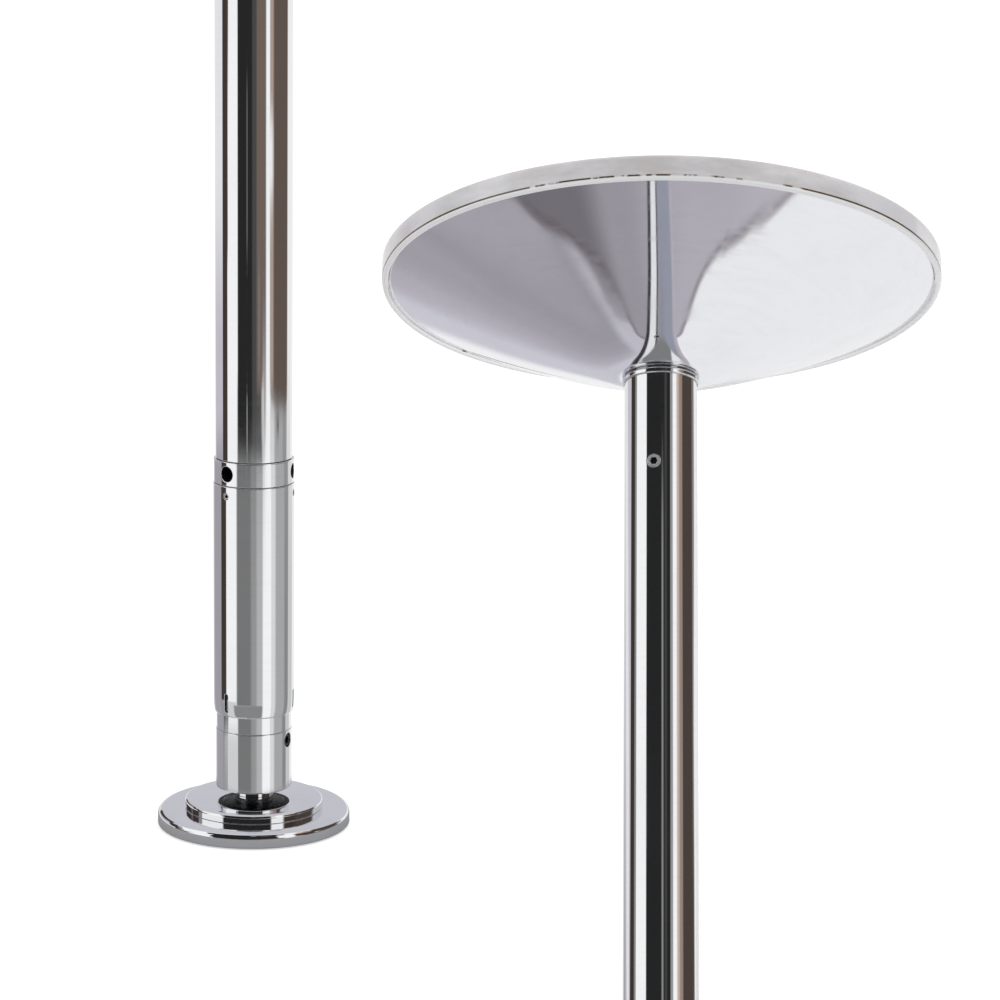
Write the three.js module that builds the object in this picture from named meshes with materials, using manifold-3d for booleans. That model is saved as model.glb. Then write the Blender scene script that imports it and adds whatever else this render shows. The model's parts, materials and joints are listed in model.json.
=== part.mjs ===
// A spinning dance pole, wedged between floor and ceiling: a floor base with two ball bearings,
// a keyed screw jack turned by a ring, two tubes on an expanding coupling, and a ceiling dome
// that turns on a bearing of its own.
// Millimetres, +Z up. The origin is on the floor, at the foot of the pole's axis.
import * as THREE from 'three';
import { mergeVertices } from 'three/addons/utils/BufferGeometryUtils.js';
import Module from 'manifold-3d';

const wasm = await Module();
wasm.setup();

// Driving sizes of the whole pole
const overallHeight = 2235; // floor to ceiling, with the jack all the way down
const tubeRadius = 22.5;
const tubeWall = 2;
const lowerTubeLength = 1000;
const jackTravel = 60;

// Clearances
const fitGap = 0.1; // between pieces that are fixed to each other
const runGap = 0.3; // between pieces that turn or slide on each other
const ballGap = 0.7; // round a ball in its grooves
const overrun = 1; // how far a cutter reaches past what it cuts
const weldTolerance = 1e-4;

// Floor base
const baseRadius = 57;
const baseThickness = 9.9;
const baseEdgeRadius = 4.5;
const baseFootChamfer = 0.8;
const baseWeb = 4; // metal left above the pocket of the spindle bolt
const boltPocketRadius = 12;
const padOuterRadius = 50;
const padInnerRadius = 14;
const padThickness = 3.6;
const padProud = 0.6; // how far the pad stands out under the base plate
const bossRadius = 41;
const bossEdgeHeight = 5.5;
const bossCrown = 2;
const bossCrownShare = 0.7; // of the crown's rise, reached halfway to the neck
const bossEdgeRadius = 2.2;
const bossScrewCircle = 30;
const bossScrewRadius = 2.5;
const bossScrewHeadRadius = 4.8;
const bossScrewGrip = 3.6; // length of thread in the boss
const bossScrewCount = 3;
const bossScrewAngle = 90; // polar angle of the first

// Spindle and its bolt
const neckRadius = 11;
const neckShown = 5.2; // height of neck between the boss and the housing
const neckHidden = 2.7; // height of neck inside the housing, up to the bearing shoulder
const spindleThreadRadius = 9;
const spindleNutRadius = 12.4;
const spindleNutHeight = 12.4;
const spindleBoltRadius = 5;
const spindleBoltHeadRadius = 8;
const spindleBoltHeadHeight = 4.2;
const spindleBoltGrip = 24;

// Ball bearings, by their bore, outer ring and width
const baseBearing = { boreRadius: 10, outerRadius: 18.5, width: 9, ballRadius: 2.38, ballCount: 7 };
const domeBearing = { boreRadius: 7.5, outerRadius: 16, width: 9, ballRadius: 2.38, ballCount: 7 };
const raceLandShare = 0.6; // height of a race's land, of the ball's radius
const cageHalfWallShare = 0.35;
const cageHalfHeightShare = 0.5;

// Bearing housing and the screw that locks the spin
const housingHeight = 36;
const housingChamfer = 0.8;
const housingSpigotHeight = 12.7;
const housingCavityRadius = 15.3;
const shieldThickness = 1.1;
const lockScrewRadius = 4;
const lockScrewLength = 6;
const lockScrewTravel = 3;
const lockScrewBelowSeam = 6.1;
const lockScrewAngle = 287;
const snapRingThickness = 1;
const snapRingReach = 1.8; // how far a snap ring stands out of its groove
const snapRingGrip = 0.5; // how far it sits in the groove
const snapGrooveDepth = 1;
const snapRingSplit = 4;

// Screw jack
const jackTubeRadius = 22.2;
const jackTubeWall = 2;
const jackShown = 10.2; // height of jack tube between the housing and the sleeve
const jackPlugLength = 20;
const jackFlangeThickness = 3;
const jackFlangeInset = 0.3; // how much narrower the flange is than the jack tube
const jackScrewRadius = 11;
const jackScrewTail = 30; // length of screw below the top of the jack tube
const jackCollarRadius = 15;
const jackCollarHeight = 3.2;
const jackRestGap = 0.4; // from the collar to the ring's hub, with the jack all the way down
const jackNutRadius = 17;
const jackNutHeight = 7;
const jackScrewChamfer = 1;

// Adjuster ring, whose hub is the nut of the jack
const ringRadius = 23.55;
const ringHeight = 14.2;
const ringChamfer = 0.4;
const hubLowerRadius = 20;
const hubUpperRadius = 17.5;
const hubEnd = 1.4; // metal between a snap ring's groove and the end of the hub
const socketRadius = 4.5;
const socketDepth = 7;
const socketChamfer = 0.5;
const socketAngle = 60; // of the first of the ring's sockets, and of the keys and screws in line
const socketCount = 3;

// Adjuster sleeve, its bush, its keys and its screws
const sleeveRadius = 23.85;
const sleeveLength = 138.2;
const sleeveLipRadius = 22.95;
const sleeveTaper = 10.5;
const sleeveTopChamfer = 0.4;
const bushLength = 8.2;
const slotWidth = 2.6;
const slotHeight = 11.3;
const slotAboveLip = 2.5;
const keyHeight = 8;
const keyDepth = 0.9; // how deep a key reaches into the jack tube
const keyInset = 0.25; // how far a key's face lies under the sleeve's lip
const sleeveScrewRadius = 1.9;
const sleeveScrewBelowTop = 5.7;
const sleeveScrewRecess = 0.35;
const tubeFootLength = 13.8;

// Coupling of the two tubes
const seamGap = 0.2;
const couplingLength = 220;
const couplingBoreRadius = 9;
const couplingSlit = 1.6;
const couplingScrewRadius = 4;
const couplingScrewSpread = 50; // from the seam to each screw
const couplingScrewSunk = 3; // from the tube's bore to the screw's end
const accessHoleRadius = 3.5;
const couplingAngle = 90;

// Ceiling spigot and its screw
const spigotLength = 88;
const spigotFlangeRadius = 22.4;
const spigotFlangeThickness = 1.8;
const spigotShoulderRadius = 9.6;
const spigotThreadRadius = 7;
const spigotNutRadius = 11.5;
const spigotNutHeight = 6;
const spigotScrewRadius = 4.1;
const spigotScrewLength = 10;
const spigotScrewBelowDome = 61;
const spigotScrewAngle = 212;

// Ceiling dome
const domeRadius = 174;
const domeWall = 2;
const domeLandRadius = 24; // flat land round the hub
const domeSlopeShare = 0.3216; // rise over run beside the land
const domeCurveShare = 0.0992; // rise that the curve adds by the rim, of the radius crossed
const domeFlangeHeight = 9.3;
const beadRadius = 23.9;
const beadHeight = 4;
const beadLip = 2.5;
const hubNeckRadius = 20;
const hubNeckHeight = 21;
const hubBoreRadius = 13.6;
const backingRadius = 40;
const hubNutRadius = 29;
const hubNutHeight = 7;
const trimHeight = 15;
const trimOuterWall = 3.6;
const trimInnerWall = 2;
const trimInnerDrop = 10;
const trimCrown = 2.8; // thickness over the edge of the dome's flange
const trimRounding = 4.7;

// Hexagon sockets of the screws
const smallSocketRadius = 1.1;
const screwSocketRadius = 2.4;
const boltSocketRadius = 3.5;
const screwSocketDepthShare = 0.5;

// Steps round a full turn
const domeSteps = 32;
const baseSteps = 28;
const tubeSteps = 26;
const innerSteps = tubeSteps / 2; // so that inner pieces lie inside the facets round them
const screwSteps = 8;
const ballSteps = 6;
const ballRows = 4;
const hexSteps = 6;
const domeCurveSteps = 3;
const edgeSteps = 3;
const grooveSteps = 2;
const lipSteps = 4;

// Finishes
const finish = (color, roughness, metalness) =>
  new THREE.MeshStandardMaterial({ color, roughness, metalness });
const chrome = () => finish(0xdfe1e6, 0.06, 1);
const steel = () => finish(0xa9adb3, 0.3, 1);
const aluminium = () => finish(0xc4c7cb, 0.4, 1);
const blackSteel = () => finish(0x3a3b3e, 0.45, 0.8);
const rubber = () => finish(0x1c1c1e, 0.85, 0);
const clearPvc = () => finish(0xeef0f2, 0.35, 0);

// A closed three.js geometry as a solid that can be cut and joined.
function solidOf(geometry) {
  const bare = geometry.clone();
  bare.deleteAttribute('normal');
  bare.deleteAttribute('uv');
  const merged = mergeVertices(bare, weldTolerance);
  const corners = merged.index.array;
  const kept = [];
  for (let i = 0; i < corners.length; i += 3) {
    const [a, b, c] = corners.subarray(i, i + 3);
    if (a !== b && b !== c && c !== a) kept.push(a, b, c);
  }
  const vertProperties = merged.attributes.position.array;
  return new wasm.Manifold(
    new wasm.Mesh({ numProp: 3, vertProperties, triVerts: new Uint32Array(kept) }),
  );
}

// A named mesh of a solid.
function meshOf(name, solid, material) {
  const { vertProperties, triVerts } = solid.getMesh();
  const geometry = new THREE.BufferGeometry();
  geometry.setAttribute('position', new THREE.BufferAttribute(vertProperties, 3));
  geometry.setIndex(new THREE.BufferAttribute(triVerts, 1));
  geometry.computeVertexNormals();
  const mesh = new THREE.Mesh(geometry, material);
  mesh.name = name;
  return mesh;
}

// The solid that a closed outline of [radius, height] points sweeps round the Z axis.
function revolve(outline, steps) {
  const points = outline.map(([r, z]) => new THREE.Vector2(r, z));
  if (THREE.ShapeUtils.area(points) < 0) points.reverse();
  points.push(points[0].clone());
  return solidOf(new THREE.LatheGeometry(points, steps).rotateX(Math.PI / 2));
}

// Points of an arc about [r, z], from one angle to another in degrees.
function arc(r, z, radius, from, to, steps) {
  return Array.from({ length: steps + 1 }, (_, i) => {
    const angle = THREE.MathUtils.degToRad(from + ((to - from) * i) / steps);
    return [r + radius * Math.cos(angle), z + radius * Math.sin(angle)];
  });
}

// The rounded top edge of a disc, from its wall inward.
const roundedEdge = (radius, top, rounding) =>
  arc(radius - rounding, top - rounding, rounding, 0, 90, edgeSteps);

// A plain ring or, with no bore, a plain disc.
const ring = (bore, radius, bottom, top, steps) =>
  revolve([[bore, bottom], [radius, bottom], [radius, top], [bore, top]], steps);

// A round bar along +X between two distances from the axis, tapered if the radii differ.
function bar(radius, inner, outer, steps, outerRadius = radius) {
  const cylinder = new THREE.CylinderGeometry(outerRadius, radius, outer - inner, steps);
  cylinder.rotateZ(-Math.PI / 2);
  cylinder.translate((inner + outer) / 2, 0, 0);
  return solidOf(cylinder);
}

// A solid turned to a polar angle in degrees and raised.
const place = (solid, angle, height) => solid.rotate([0, 0, angle]).translate([0, 0, height]);

// A mesh whose solid lies along +X, turned to a polar angle in degrees and raised.
function placeMesh(mesh, angle, height) {
  mesh.rotation.z = THREE.MathUtils.degToRad(angle);
  mesh.position.z = height;
  return mesh;
}

// The polar angles of a number of equal copies.
const fullTurn = 360;
const spread = (first, count) =>
  Array.from({ length: count }, (_, i) => first + (fullTurn * i) / count);

// A bar along +X with round ends, as high as a slot.
function slotBar(width, height, inner, outer) {
  const shape = new THREE.Shape();
  const reach = height / 2 - width / 2;
  shape.absarc(0, reach, width / 2, 0, Math.PI, false);
  shape.absarc(0, -reach, width / 2, Math.PI, 2 * Math.PI, false);
  const settings = { depth: outer - inner, bevelEnabled: false, curveSegments: edgeSteps };
  const geometry = new THREE.ExtrudeGeometry(shape, settings);
  geometry.rotateX(Math.PI / 2);
  geometry.rotateZ(Math.PI / 2);
  geometry.translate(inner, 0, 0);
  return solidOf(geometry);
}

// A headless screw along +X with a hexagon socket in its outer end.
function grubScrew(radius, inner, outer, socketRadius) {
  const depth = Math.min((outer - inner) * screwSocketDepthShare, 2 * socketRadius);
  const socket = bar(socketRadius, outer - depth, outer + overrun, hexSteps);
  return bar(radius, inner, outer, screwSteps).subtract(socket);
}

// A snap ring with its split, in a groove on a shaft or in a bore.
function snapRing(bore, radius, bottom, steps) {
  const top = bottom + snapRingThickness;
  const reach = radius + overrun;
  const split = new THREE.BoxGeometry(reach, snapRingSplit, snapRingThickness + 2 * overrun);
  split.translate(reach / 2, 0, (bottom + top) / 2);
  return ring(bore, radius, bottom, top, steps).subtract(solidOf(split));
}

// Heights from the floor up
const padRoof = padThickness + fitGap;
const baseBottom = padProud;
const baseTop = baseBottom + baseThickness;
const bossBottom = baseTop + fitGap;
const bossTop = bossBottom + bossEdgeHeight + bossCrown;
const housingBottom = bossTop + neckShown;
const housingTop = housingBottom + housingHeight;
const spindleShoulder = housingBottom + neckHidden;
const lowerBearingBottom = spindleShoulder + fitGap;
const housingSnapBottom = lowerBearingBottom - fitGap - snapRingThickness;
const upperBearingBottom = lowerBearingBottom + baseBearing.width + fitGap;
const bearingsTop = upperBearingBottom + baseBearing.width;
const spindleNutBottom = bearingsTop + fitGap;
const spindleTop = spindleNutBottom + spindleNutHeight;
const lockScrewMiddle = housingTop - lockScrewBelowSeam;

// Heights of the jack, the sleeve and the ring
const sleeveBottom = housingTop + jackShown;
const slotMiddle = sleeveBottom + slotAboveLip + slotHeight / 2;
const sleeveTop = sleeveBottom + sleeveLength;
const sleeveScrewHeight = sleeveTop - sleeveScrewBelowTop;
const bushBottom = sleeveTop - bushLength;
const lowerSnapBottom = bushBottom - runGap - snapRingThickness;
const hubBottom = lowerSnapBottom - hubEnd;
const jackCollarTop = hubBottom - jackRestGap;
const jackFlangeTop = jackCollarTop - jackCollarHeight - fitGap;
const jackTubeTop = jackFlangeTop - jackFlangeThickness - fitGap;
const jackTubeBottom = housingTop + fitGap;
const ringBottom = sleeveTop + runGap;
const ringTop = ringBottom + ringHeight;
const lowerTubeBottom = ringTop + runGap;
const footTop = lowerTubeBottom + fitGap + tubeFootLength;
const upperSnapBottom = footTop + runGap;
const hubTop = upperSnapBottom + snapRingThickness + hubEnd;

// Size of the dome, from its radius, slope and edge
const domeFlangeRadius = domeRadius - trimOuterWall - fitGap;
const domeRise = (domeSlopeShare + domeCurveShare) * (domeFlangeRadius - domeLandRadius);
const domeDepth = fitGap + domeRise + domeFlangeHeight + fitGap + trimCrown;

// Heights of the tubes, the coupling and the dome
const seamHeight = lowerTubeBottom + lowerTubeLength;
const upperTubeBottom = seamHeight + seamGap;
const couplingMiddle = seamHeight + seamGap / 2;
const lowerScrewHeight = couplingMiddle - couplingScrewSpread;
const upperScrewHeight = couplingMiddle + couplingScrewSpread;
const beadBottom = overallHeight - domeDepth - beadHeight;
const beadTop = beadBottom + beadHeight;
const flangeBottom = beadBottom + runGap;
const upperTubeTop = flangeBottom - fitGap;
const flangeTop = flangeBottom + spigotFlangeThickness;
const domeSnapRingBottom = beadBottom + beadLip + snapRingThickness / 2;
const domeBearingBottom = domeSnapRingBottom + snapRingThickness + fitGap;
const domeBearingTop = domeBearingBottom + domeBearing.width;
const spigotScrewHeight = beadTop - spigotScrewBelowDome;
const hubNeckTop = beadTop + hubNeckHeight;
const domeLandBottom = beadTop + fitGap;

// Radii that follow
const tubeBore = tubeRadius - tubeWall;
const jackBore = jackTubeRadius - jackTubeWall;
const sleeveBore = jackTubeRadius + runGap;
const bushBore = hubLowerRadius + runGap;
const footBore = hubUpperRadius + runGap;
const neckBore = neckRadius + fitGap;
const socketAngles = spread(socketAngle, socketCount);
const bossScrewAngles = spread(bossScrewAngle, bossScrewCount);

// Soft ring under the base plate.
function floorPad() {
  const solid = ring(padInnerRadius, padOuterRadius, 0, padThickness, baseSteps);
  return meshOf('floor_pad', solid, rubber());
}

// Countersunk screw that holds the boss, on the Z axis.
function bossScrewOutline(extra) {
  const headTop = padRoof + bossScrewHeadRadius - bossScrewRadius;
  const tip = bossBottom + bossScrewGrip;
  return [
    [0, padRoof + fitGap - extra],
    [bossScrewHeadRadius + extra, padRoof + fitGap - extra],
    [bossScrewRadius + extra, headTop + fitGap],
    [bossScrewRadius + extra, tip + extra],
    [0, tip + extra],
  ];
}

// A solid with the holes of the boss screws cut through it.
function drilledForBoss(solid) {
  const hole = revolve(bossScrewOutline(2 * fitGap), screwSteps).translate([bossScrewCircle, 0, 0]);
  return bossScrewAngles.reduce((left, angle) => left.subtract(hole.rotate([0, 0, angle])), solid);
}

// Round base plate with its pad recess, bolt pocket and screw holes.
function basePlate() {
  const edge = roundedEdge(baseRadius, baseTop, baseEdgeRadius);
  const pocketRoof = baseTop - baseWeb;
  const outline = [
    [spindleBoltRadius + runGap, baseTop],
    [spindleBoltRadius + runGap, pocketRoof],
    [boltPocketRadius, pocketRoof],
    [boltPocketRadius, padRoof],
    [padOuterRadius + fitGap, padRoof],
    [padOuterRadius + fitGap, baseBottom],
    [baseRadius - baseFootChamfer, baseBottom],
    [baseRadius, baseBottom + baseFootChamfer],
    ...edge,
  ];
  return meshOf('base_plate', drilledForBoss(revolve(outline, baseSteps)), chrome());
}

// Domed boss on the base plate, round the neck of the spindle.
function baseBoss() {
  const edgeTop = bossBottom + bossEdgeHeight;
  const crownRadius = (neckBore + bossRadius) / 2;
  const edge = roundedEdge(bossRadius, edgeTop, bossEdgeRadius);
  const outline = [
    [neckBore, bossBottom],
    [bossRadius, bossBottom],
    ...edge,
    [crownRadius, edgeTop + bossCrown * bossCrownShare],
    [neckBore, bossTop],
  ];
  return meshOf('base_boss', drilledForBoss(revolve(outline, baseSteps)), chrome());
}

function bossScrews() {
  return bossScrewAngles.map((angle, i) => {
    const solid = revolve(bossScrewOutline(0), screwSteps).translate([bossScrewCircle, 0, 0]);
    return placeMesh(meshOf(`boss_screw_${i + 1}`, solid, steel()), angle, 0);
  });
}

// Spindle that the pole turns on: neck, bearing seat, thread and a blind bore for its bolt.
function spindle() {
  const boltBore = spindleBoltRadius + fitGap;
  const boreRoof = bossBottom + spindleBoltGrip + runGap;
  const outline = [
    [boltBore, bossBottom],
    [neckRadius, bossBottom],
    [neckRadius, spindleShoulder],
    [baseBearing.boreRadius, spindleShoulder],
    [baseBearing.boreRadius, bearingsTop],
    [spindleThreadRadius, bearingsTop],
    [spindleThreadRadius, spindleTop],
    [0, spindleTop],
    [0, boreRoof],
    [boltBore, boreRoof],
  ];
  return meshOf('spindle', revolve(outline, innerSteps), steel());
}

// Bolt that clamps the spindle to the base plate from below.
function spindleBolt() {
  const headTop = baseTop - baseWeb - fitGap;
  const headBottom = headTop - spindleBoltHeadHeight;
  const tip = bossBottom + spindleBoltGrip;
  const outline = [
    [0, headBottom],
    [spindleBoltHeadRadius, headBottom],
    [spindleBoltHeadRadius, headTop],
    [spindleBoltRadius, headTop],
    [spindleBoltRadius, tip],
    [0, tip],
  ];
  const depth = spindleBoltHeadHeight * screwSocketDepthShare;
  const socket = bar(boltSocketRadius, -overrun, depth, hexSteps);
  const upright = socket.rotate([0, -90, 0]).translate([0, 0, headBottom]);
  return meshOf('spindle_bolt', revolve(outline, innerSteps).subtract(upright), blackSteel());
}

// Nut over the bearings, and the drum that the lock screw presses on.
function spindleNut() {
  const bore = spindleThreadRadius + fitGap;
  const solid = ring(bore, spindleNutRadius, spindleNutBottom, spindleTop, innerSteps);
  return meshOf('spindle_nut', solid, steel());
}

// Groove of a race: points on an arc that clears the ball, inward or outward of the pitch circle.
function grooveOutline(bearing, side) {
  const pitch = (bearing.boreRadius + bearing.outerRadius) / 2;
  const radius = bearing.ballRadius + ballGap;
  const land = bearing.ballRadius * raceLandShare;
  const half = THREE.MathUtils.radToDeg(Math.acos(land / radius));
  const middle = side > 0 ? 0 : 180;
  return arc(pitch, bearing.width / 2, radius, middle + half, middle - half, grooveSteps);
}

function race(name, bearing, side, bottom) {
  const groove = grooveOutline(bearing, side);
  const land = groove[0][0];
  const back = side > 0 ? bearing.outerRadius - fitGap : bearing.boreRadius + fitGap;
  const ends = side > 0 ? [bearing.width, 0] : [0, bearing.width];
  const outline = [
    [back, ends[0]],
    [land, ends[0]],
    ...groove,
    [land, ends[1]],
    [back, ends[1]],
  ];
  const mesh = meshOf(name, revolve(outline, innerSteps), steel());
  mesh.position.z = bottom;
  return mesh;
}

// Cage ring with its balls.
function ballCage(name, bearing, bottom) {
  const pitch = (bearing.boreRadius + bearing.outerRadius) / 2;
  const wall = bearing.ballRadius * cageHalfWallShare;
  const half = bearing.ballRadius * cageHalfHeightShare;
  const sphere = new THREE.SphereGeometry(bearing.ballRadius, ballSteps, ballRows);
  const ball = solidOf(sphere.translate(pitch, 0, 0));
  const solid = spread(0, bearing.ballCount).reduce(
    (cage, angle) => cage.add(ball.rotate([0, 0, angle])),
    ring(pitch - wall, pitch + wall, -half, half, innerSteps),
  );
  const mesh = meshOf(name, solid, steel());
  mesh.position.z = bottom + bearing.width / 2;
  return mesh;
}

// Bearing housing: seat and snap ring groove, shoulder over the bearings, spigot for the jack tube.
function bearingHousing() {
  const seat = baseBearing.outerRadius;
  const groove = seat + snapGrooveDepth;
  const spigot = jackBore - fitGap;
  const outline = [
    [seat, housingBottom],
    [seat, housingSnapBottom - fitGap / 2],
    [groove, housingSnapBottom - fitGap / 2],
    [groove, housingSnapBottom + snapRingThickness + fitGap / 2],
    [seat, housingSnapBottom + snapRingThickness + fitGap / 2],
    [seat, bearingsTop + fitGap],
    [housingCavityRadius, bearingsTop + fitGap],
    [housingCavityRadius, housingTop + housingSpigotHeight],
    [spigot, housingTop + housingSpigotHeight],
    [spigot, housingTop],
    [tubeRadius, housingTop],
    [tubeRadius, housingBottom + housingChamfer],
    [tubeRadius - housingChamfer, housingBottom],
  ];
  const hole = bar(lockScrewRadius + runGap, 0, tubeRadius + overrun, screwSteps);
  const cut = place(hole, lockScrewAngle, lockScrewMiddle);
  return meshOf('bearing_housing', revolve(outline, tubeSteps).subtract(cut), chrome());
}

// Snap ring that keeps the bearings in the housing from below.
function housingSnapRing() {
  const seat = baseBearing.outerRadius;
  const solid = snapRing(seat - snapRingReach, seat + snapRingGrip, housingSnapBottom, innerSteps);
  return meshOf('housing_snap_ring', solid, blackSteel());
}

// Shield that closes the housing round the neck.
function dustShield() {
  const bottom = housingBottom + fitGap;
  const radius = baseBearing.outerRadius - fitGap;
  const solid = ring(neckRadius + runGap + fitGap, radius, bottom, bottom + shieldThickness, tubeSteps);
  return meshOf('dust_shield', solid, blackSteel());
}

// Screw that stops the spin when it is turned in against the spindle nut.
function lockScrew() {
  const tip = spindleNutRadius + runGap + lockScrewTravel;
  const solid = grubScrew(lockScrewRadius, tip, tip + lockScrewLength, screwSocketRadius);
  const mesh = meshOf('spin_lock_screw', solid, blackSteel());
  return placeMesh(mesh, lockScrewAngle, lockScrewMiddle);
}

// Jack tube with a keyway for each key, long enough for the jack's travel.
function jackTube() {
  const bottomKey = slotMiddle - slotHeight / 2;
  const from = bottomKey - slotWidth / 2;
  const to = bottomKey + keyHeight + jackTravel + slotWidth / 2;
  const depth = keyDepth + runGap;
  const length = depth + runGap + overrun;
  const keyway = new THREE.BoxGeometry(length, slotWidth + runGap, to - from);
  keyway.translate(jackTubeRadius - depth + length / 2, 0, (from + to) / 2);
  const cutter = solidOf(keyway);
  const solid = socketAngles.reduce(
    (tube, angle) => tube.subtract(cutter.rotate([0, 0, angle])),
    ring(jackBore, jackTubeRadius, jackTubeBottom, jackTubeTop, tubeSteps),
  );
  return meshOf('jack_tube', solid, chrome());
}

// Flanged plug in the top of the jack tube, which carries the screw.
function jackPlug() {
  const bore = jackScrewRadius + fitGap;
  const body = jackBore - fitGap;
  const outline = [
    [bore, jackTubeTop - jackPlugLength],
    [body, jackTubeTop - jackPlugLength],
    [body, jackTubeTop + fitGap],
    [jackTubeRadius - jackFlangeInset, jackTubeTop + fitGap],
    [jackTubeRadius - jackFlangeInset, jackFlangeTop],
    [bore, jackFlangeTop],
  ];
  return meshOf('jack_plug', revolve(outline, innerSteps), steel());
}

// Jack screw with the collar that rests on the plug.
function jackScrew() {
  const top = hubTop + jackTravel;
  const outline = [
    [0, jackTubeTop - jackScrewTail],
    [jackScrewRadius, jackTubeTop - jackScrewTail],
    [jackScrewRadius, jackFlangeTop + fitGap],
    [jackCollarRadius, jackFlangeTop + fitGap],
    [jackCollarRadius, jackCollarTop],
    [jackScrewRadius, jackCollarTop],
    [jackScrewRadius, top - jackScrewChamfer],
    [jackScrewRadius - jackScrewChamfer, top],
    [0, top],
  ];
  return meshOf('jack_screw', revolve(outline, innerSteps), steel());
}

// Hexagon nut under the plug.
function jackNut() {
  const top = jackTubeTop - jackPlugLength - fitGap;
  const hexagon = ring(0, jackNutRadius, top - jackNutHeight, top, hexSteps);
  const bore = jackScrewRadius + fitGap;
  const hole = ring(0, bore, top - jackNutHeight - overrun, top + overrun, innerSteps);
  return meshOf('jack_nut', hexagon.subtract(hole), steel());
}

// Adjuster ring with its sockets and the hub that runs in the sleeve's bush and the tube's foot.
function adjusterRing() {
  const slack = fitGap / 2;
  const outline = [
    [jackScrewRadius + runGap, hubBottom],
    [hubLowerRadius, hubBottom],
    [hubLowerRadius, lowerSnapBottom - slack],
    [hubLowerRadius - snapGrooveDepth, lowerSnapBottom - slack],
    [hubLowerRadius - snapGrooveDepth, lowerSnapBottom + snapRingThickness + slack],
    [hubLowerRadius, lowerSnapBottom + snapRingThickness + slack],
    [hubLowerRadius, ringBottom],
    [ringRadius - ringChamfer, ringBottom],
    [ringRadius, ringBottom + ringChamfer],
    [ringRadius, ringTop - ringChamfer],
    [ringRadius - ringChamfer, ringTop],
    [hubUpperRadius, ringTop],
    [hubUpperRadius, upperSnapBottom - slack],
    [hubUpperRadius - snapGrooveDepth, upperSnapBottom - slack],
    [hubUpperRadius - snapGrooveDepth, upperSnapBottom + snapRingThickness + slack],
    [hubUpperRadius, upperSnapBottom + snapRingThickness + slack],
    [hubUpperRadius, hubTop],
    [jackScrewRadius + runGap, hubTop],
  ];
  const floor = ringRadius - socketDepth;
  const drilled = bar(socketRadius, floor, ringRadius + overrun, screwSteps);
  const mouthFrom = ringRadius - 2 * socketChamfer;
  const mouthRadius = socketRadius + 2 * socketChamfer + overrun;
  const mouth = bar(socketRadius, mouthFrom, ringRadius + overrun, screwSteps, mouthRadius);
  const cutter = drilled.add(mouth);
  const solid = socketAngles.reduce(
    (body, angle) => body.subtract(place(cutter, angle, (ringBottom + ringTop) / 2)),
    revolve(outline, tubeSteps),
  );
  return meshOf('adjuster_ring', solid, chrome());
}

// Snap rings that keep the ring between the sleeve and the tube.
function ringSnapRings() {
  const rings = [
    ['lower_snap_ring', hubLowerRadius, lowerSnapBottom],
    ['upper_snap_ring', hubUpperRadius, upperSnapBottom],
  ];
  return rings.map(([name, shaft, bottom]) => {
    const solid = snapRing(shaft - snapRingGrip, shaft + snapRingReach, bottom, tubeSteps);
    return meshOf(name, solid, blackSteel());
  });
}

// Adjuster sleeve with its drawn-in lower lip, key slots and screw holes.
function adjusterSleeve() {
  const lip = Array.from({ length: lipSteps + 1 }, (_, i) => {
    const angle = (Math.PI / 2) * (i / lipSteps);
    const radius = sleeveLipRadius + (sleeveRadius - sleeveLipRadius) * Math.sin(angle);
    return [radius, sleeveBottom + sleeveTaper * (1 - Math.cos(angle))];
  });
  const outline = [
    [sleeveBore, sleeveTop],
    [sleeveBore, sleeveBottom],
    ...lip,
    [sleeveRadius, sleeveTop - sleeveTopChamfer],
    [sleeveRadius - sleeveTopChamfer, sleeveTop],
  ];
  const slot = slotBar(slotWidth, slotHeight, tubeBore, sleeveRadius + overrun);
  const hole = bar(sleeveScrewRadius + fitGap, tubeBore, sleeveRadius + overrun, screwSteps);
  const solid = socketAngles.reduce(
    (sleeve, angle) =>
      sleeve
        .subtract(place(slot, angle, slotMiddle))
        .subtract(place(hole, angle, sleeveScrewHeight)),
    revolve(outline, tubeSteps),
  );
  return meshOf('adjuster_sleeve', solid, chrome());
}

// Bush in the top of the sleeve, which the ring's hub runs in and the sleeve screws thread into.
function sleeveBush() {
  const hole = bar(sleeveScrewRadius + fitGap, 0, sleeveRadius, screwSteps);
  const solid = socketAngles.reduce(
    (bush, angle) => bush.subtract(place(hole, angle, sleeveScrewHeight)),
    ring(bushBore, sleeveBore - fitGap, bushBottom, sleeveTop, tubeSteps),
  );
  return meshOf('sleeve_bush', solid, steel());
}

// Keys in the lower part of the sleeve's slots, which slide in the jack tube's keyways.
function sleeveKeys() {
  const bottom = slotMiddle - slotHeight / 2 + fitGap;
  const width = slotWidth - 2 * fitGap;
  return socketAngles.map((angle, i) => {
    const solid = slotBar(width, keyHeight, jackTubeRadius - keyDepth, sleeveLipRadius - keyInset);
    return placeMesh(meshOf(`sleeve_key_${i + 1}`, solid, steel()), angle, bottom + keyHeight / 2);
  });
}

// Small screws that press on the ring's hub when the height is set.
function sleeveScrews() {
  return socketAngles.map((angle, i) => {
    const outer = sleeveRadius - sleeveScrewRecess;
    const solid = grubScrew(sleeveScrewRadius, bushBore + fitGap, outer, smallSocketRadius);
    const mesh = meshOf(`sleeve_screw_${i + 1}`, solid, blackSteel());
    return placeMesh(mesh, angle, sleeveScrewHeight);
  });
}

// Foot in the lower tube, which the ring's hub runs in.
function tubeFoot() {
  const solid = ring(footBore, tubeBore - fitGap, lowerTubeBottom + fitGap, footTop, tubeSteps);
  return meshOf('tube_foot', solid, steel());
}

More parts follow.
